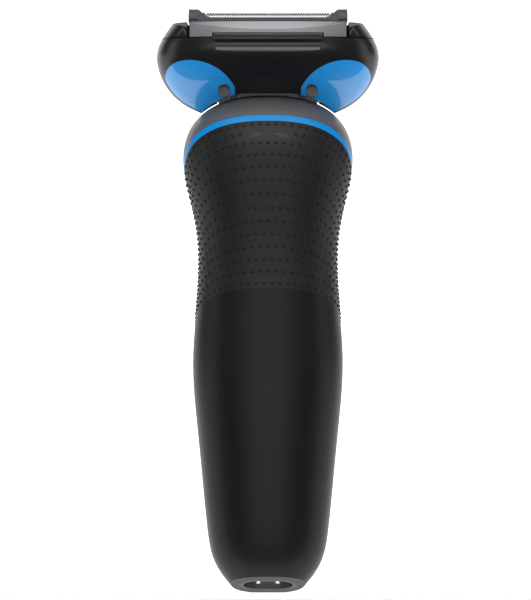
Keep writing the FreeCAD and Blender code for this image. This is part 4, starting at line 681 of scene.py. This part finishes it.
class SHAVER_OT_cheeks(bpy.types.Operator):
    """End cheeks of the cassette, with rounded horns over the foils"""

    bl_idname = "shaver.cheeks"
    bl_label = "End cheeks"

    def execute(self, context):
        for side in ("left", "right"):
            complete(make_cheek("end_cheek_" + side), "rounded_cheek_" + side, "cassette",
                     "cheek_plastic", "cheek", "end_cheek_" + side)
        return {"FINISHED"}


def make_cheek(name):
    """One cheek: a foot and a flange on the frame, an upright plate and a horn over each foil."""
    low, high = box(name)
    plate = 2.6 * MM
    radius = 4.9 * MM
    base = low.z + 0.3 * MM
    flange_top = low.z + 1.2 * MM
    foot_top = low.z + 0.32 * MM
    rail = box("foil_cradle_rear")[1].z
    frame_end = box("cassette_frame")[1].x
    if high.x > 0:
        x = (low.x, low.x + plate)
        foot_x = (low.x, frame_end)
    else:
        x = (high.x - plate, high.x)
        foot_x = (-frame_end, high.x)
    cheek = plain_block((x[0], low.y, base), (x[1], high.y, rail))
    for y in (low.y + radius, high.y - radius):
        horn = start(bpy.ops.mesh.primitive_cylinder_add, vertices=48, radius=radius, depth=plate,
                     rotation=(0, math.radians(90), 0),
                     location=((x[0] + x[1]) / 2, y, high.z - radius))
        boolean(cheek, settle(horn), "UNION")
    below = low.z - 2 * radius
    boolean(cheek, plain_block((low.x - MM, low.y - MM, below), (high.x + MM, high.y + MM, base)),
            "DIFFERENCE")
    round_edges(cheek, 0.8 * MM, 4)
    flange = rounded_block((low.x, low.y, base), (high.x, high.y, flange_top), 0.3 * MM, 2)
    foot = plain_block((foot_x[0], low.y, low.z), (foot_x[1], high.y, foot_top))
    return joined([cheek, flange, foot])


class SHAVER_OT_rails(bpy.types.Operator):
    """Cradles whose rails dip between the horns"""

    bl_idname = "shaver.rails"
    bl_label = "Rails"

    def execute(self, context):
        for side in ("front", "rear"):
            complete(make_rails("foil_cradle_" + side), "rails_" + side, "foil_unit_" + side,
                     "frame_plastic", "cheek", "foil_cradle_" + side)
        return {"FINISHED"}


def make_rails(name):
    """One cradle: two long walls with curved tops, and two end walls.

    Short strips beyond the long walls close the gap to the end cheeks.
    """
    low, high = box(name)
    side_wall = 0.7 * MM
    end_wall = 0.6 * MM
    reach = 3.4 * MM
    dip = 0.7 * MM
    rise = 1.5 * MM
    beyond = 0.2 * MM
    strip = 1.9 * MM

    def edges(x):
        share = max(0.0, (abs(x) - (high.x - reach)) / reach)
        return low.z, high.z - dip + (dip + rise) * share ** 1.6

    pieces = []
    for near in (low.y, high.y - side_wall):
        pieces.append(wall(low.x, high.x, edges, near, near + side_wall, 120))
        for x in (low.x - beyond, high.x):
            pieces.append(plain_block((x, near, high.z - strip),
                                      (x + beyond, near + side_wall, high.z + rise)))
    for x in (low.x, high.x - end_wall):
        pieces.append(plain_block((x, low.y + side_wall, low.z),
                                  (x + end_wall, high.y - side_wall, high.z)))
    return smooth(joined(pieces), 35)


class SHAVER_OT_cap_details(bpy.types.Operator):
    """Bright tips and corner ribs on the release buttons"""

    bl_idname = "shaver.cap_details"
    bl_label = "Cap details"

    def execute(self, context):
        for side, name in ((1, "left"), (-1, "right")):
            make_cap_details(side, name)
        return {"FINISHED"}


def make_cap_details(side, name):
    """The bright tips and the ribs of one release button."""
    target = "release_button_" + name
    crest = box(target)[1].z
    inner = box("cassette_frame")[1].x + 0.7 * MM
    first = inner + 0.1 * MM
    tip_length = 3.6 * MM
    tip_depth = 1.3 * MM
    tip_top = crest - 0.12 * MM
    tip_low = crest - 0.15 * MM
    tip_end = inner + tip_length - 0.1 * MM
    peak = inner + 1.25 * MM
    outer = inner + 2.8 * MM
    peak_height = crest - 1.7 * MM
    drop = 2.1 * MM
    half = 0.34 * MM

    def tip_edges(x):
        share = (abs(x) - inner) / tip_length
        return tip_low - tip_depth * (1 - share) ** 0.7, tip_top

    def outer_edges(x):
        middle = peak_height - drop * (abs(x) - peak) / (outer - peak)
        return middle - half, middle + half

    def inner_edges(x):
        middle = peak_height - drop * (peak - abs(x)) / (peak - first)
        return middle - 1.4 * half, middle + 1.4 * half

    tips = []
    ribs = []
    for facing in (-1, 1):
        x = sorted((side * first, side * tip_end))
        tips.append(skin(target, x[0], x[1], tip_edges, facing, 12, 2, 0.08 * MM, 0.14 * MM))
        for start_x, end_x, edges in ((peak, outer, outer_edges), (first, peak, inner_edges)):
            x = sorted((side * start_x, side * end_x))
            ribs.append(skin(target, x[0], x[1], edges, facing, 6, 1, 0.22 * MM, 0.3 * MM))
    body = "release_" + name
    complete(joined(tips), "cap_tips_" + name, body, "bright_trim", "silver")
    complete(joined(ribs), "cap_ribs_" + name, body, "cheek_plastic", "cheek")


class SHAVER_OT_housing_lines(bpy.types.Operator):
    """Raised line under the rim of the head's housing"""

    bl_idname = "shaver.housing_lines"
    bl_label = "Housing lines"

    def execute(self, context):
        seam = box("head_housing")[1].z
        inner = 15.6 * MM
        outer = 29.2 * MM
        low = seam - 1.75 * MM
        high = seam - 1.45 * MM
        lines = []
        for facing in (-1, 1):
            for left, right in ((-outer, -inner), (inner, outer)):
                lines.append(skin("head_housing", left, right, lambda x: (low, high), facing,
                                  40, 1, 0.07 * MM, 0.12 * MM))
        complete(joined(lines), "housing_lines", "head", "head_plastic", "head")
        return {"FINISHED"}


class SHAVER_OT_stage(bpy.types.Operator):
    """Pale backdrop, soft studio lights and the camera behind the shaver"""

    bl_idname = "shaver.stage"
    bl_label = "Stage"

    def execute(self, context):
        make_backdrop()
        make_lights()
        make_camera()
        return {"FINISHED"}


def make_backdrop():
    """A white floor that curves up into a wall on the far side of the shaver."""
    # It ends just on the camera's side, so that the undersides don't mirror it.
    near = 0.022
    depth = 1.6
    half_width = 2.6
    radius = 0.5
    height = 1.6
    middle = (near - depth) / 2
    floor = start(bpy.ops.mesh.primitive_plane_add, size=2.0, location=(0, middle, 0))
    floor.scale = (half_width, (near + depth) / 2, 1)
    settle(floor)
    shape = edit(floor)
    bpy.ops.mesh.select_mode(type="EDGE")
    for side in shape.edges:
        side.select_set(all(corner.co.y < middle for corner in side.verts))
    bmesh.update_edit_mesh(floor.data)
    steps = 16
    run = math.radians(90) / steps * radius
    for step in range(steps):
        turn = math.radians(90) * (step + 0.5) / steps
        bpy.ops.mesh.extrude_region_move(TRANSFORM_OT_translate={
            "value": (0, -run * math.cos(turn), run * math.sin(turn))})
    bpy.ops.mesh.extrude_region_move(TRANSFORM_OT_translate={"value": (0, 0, height)})
    bpy.ops.mesh.select_all(action="SELECT")
    bpy.ops.mesh.normals_make_consistent(inside=False)
    leave()
    only(floor)
    bpy.ops.object.shade_smooth()
    # Matte white studio paper. It also glows, so that it stays an even white.
    finish, tree, output, _ = blank("studio_paper")
    shader = add_node(tree, "ShaderNodeBsdfPrincipled",
                      {"Base Color": linear("#fbfbfb"), "Roughness": 0.9,
                       "Emission Color": linear("#ffffff"), "Emission Strength": 1.0})
    tree.links.new(shader.outputs["BSDF"], output.inputs["Surface"])
    floor.data.materials.append(finish)
    floor.name = "backdrop"


def area_light(name, place, target, size, watts):
    """A rectangular soft light at a place, facing a target."""
    light = bpy.data.lights.new(name, "AREA")
    light.shape = "RECTANGLE"
    light.size, light.size_y = size
    light.energy = watts
    lamp = bpy.data.objects.new(name, light)
    lamp.location = place
    lamp.rotation_euler = (Vector(target) - Vector(place)).to_track_quat("-Z", "Y").to_euler()
    bpy.context.scene.collection.objects.link(lamp)


def make_lights():
    """Strip lights on both sides, a soft one above, and two by the camera, high and low."""
    middle = (0, 0, 0.09)
    shoulders = (0, 0, 0.13)
    area_light("side_left", (0.5, 0.12, 0.12), middle, (0.2, 0.5), 0.5)
    area_light("side_right", (-0.5, 0.12, 0.12), middle, (0.2, 0.5), 0.5)
    area_light("above", (0, 0.2, 0.65), shoulders, (0.7, 0.6), 2.4)
    area_light("fill", (0, 0.9, -0.05), shoulders, (0.5, 0.15), 1.6)
    area_light("key", (0, 0.85, 0.6), shoulders, (0.5, 0.3), 3.8)
    world = bpy.data.worlds.new("studio")
    world.use_nodes = True
    background = world.node_tree.nodes["Background"]
    background.inputs["Color"].default_value = (1, 1, 1, 1)
    background.inputs["Strength"].default_value = 0.1
    bpy.context.scene.world = world
    bpy.context.scene.view_settings.view_transform = "Standard"


def make_camera():
    """A long lens level with the middle of the shaver, behind it."""
    distance = 1.2
    aside = 0.7 * MM
    middle = 83.2 * MM
    field = 169.8 * MM
    camera = bpy.data.cameras.new("camera")
    camera.sensor_width = 36.0
    camera.lens = camera.sensor_width * distance / field
    camera.clip_end = 20
    place = bpy.data.objects.new("camera", camera)
    place.location = (aside, distance, middle)
    place.rotation_euler = (math.radians(90), 0, math.radians(180))
    bpy.context.scene.collection.objects.link(place)
    bpy.context.scene.camera = place


class SHAVER_PT_panel(bpy.types.Panel):
    """Sidebar panel with one button for each group of pieces"""

    bl_label = "Shaver"
    bl_space_type = "VIEW_3D"
    bl_region_type = "UI"
    bl_category = "Shaver"

    def draw(self, context):
        for item in PIECE_OPERATORS:
            self.layout.operator(item.bl_idname)
        for name in ShaverSizes.__annotations__:
            self.layout.prop(context.scene.shaver_sizes, name)
        for name in ShaverColours.__annotations__:
            self.layout.prop(context.scene.shaver_colours, name)


PIECE_OPERATORS = (
    SHAVER_OT_finishes,
    SHAVER_OT_grip_nubs,
    SHAVER_OT_crescents,
    SHAVER_OT_foils,
    SHAVER_OT_thumb_bars,
    SHAVER_OT_cheeks,
    SHAVER_OT_rails,
    SHAVER_OT_cap_details,
    SHAVER_OT_housing_lines,
    SHAVER_OT_stage,
)


def register():
    """Register the classes, the sizes and the colours."""
    bpy.utils.register_class(ShaverSizes)
    bpy.utils.register_class(ShaverColours)
    for item in PIECE_OPERATORS:
        bpy.utils.register_class(item)
    bpy.utils.register_class(SHAVER_PT_panel)
    bpy.types.Scene.shaver_sizes = bpy.props.PointerProperty(type=ShaverSizes)
    bpy.types.Scene.shaver_colours = bpy.props.PointerProperty(type=ShaverColours)


def unregister():
    """Undo register."""
    del bpy.types.Scene.shaver_colours
    del bpy.types.Scene.shaver_sizes
    bpy.utils.unregister_class(SHAVER_PT_panel)
    for item in reversed(PIECE_OPERATORS):
        bpy.utils.unregister_class(item)
    bpy.utils.unregister_class(ShaverColours)
    bpy.utils.unregister_class(ShaverSizes)


def main():
    """Build everything in order."""
    register()
    for item in PIECE_OPERATORS:
        group, name = item.bl_idname.split(".")
        getattr(getattr(bpy.ops, group), name)()


if __name__ == "__main__":
    main()
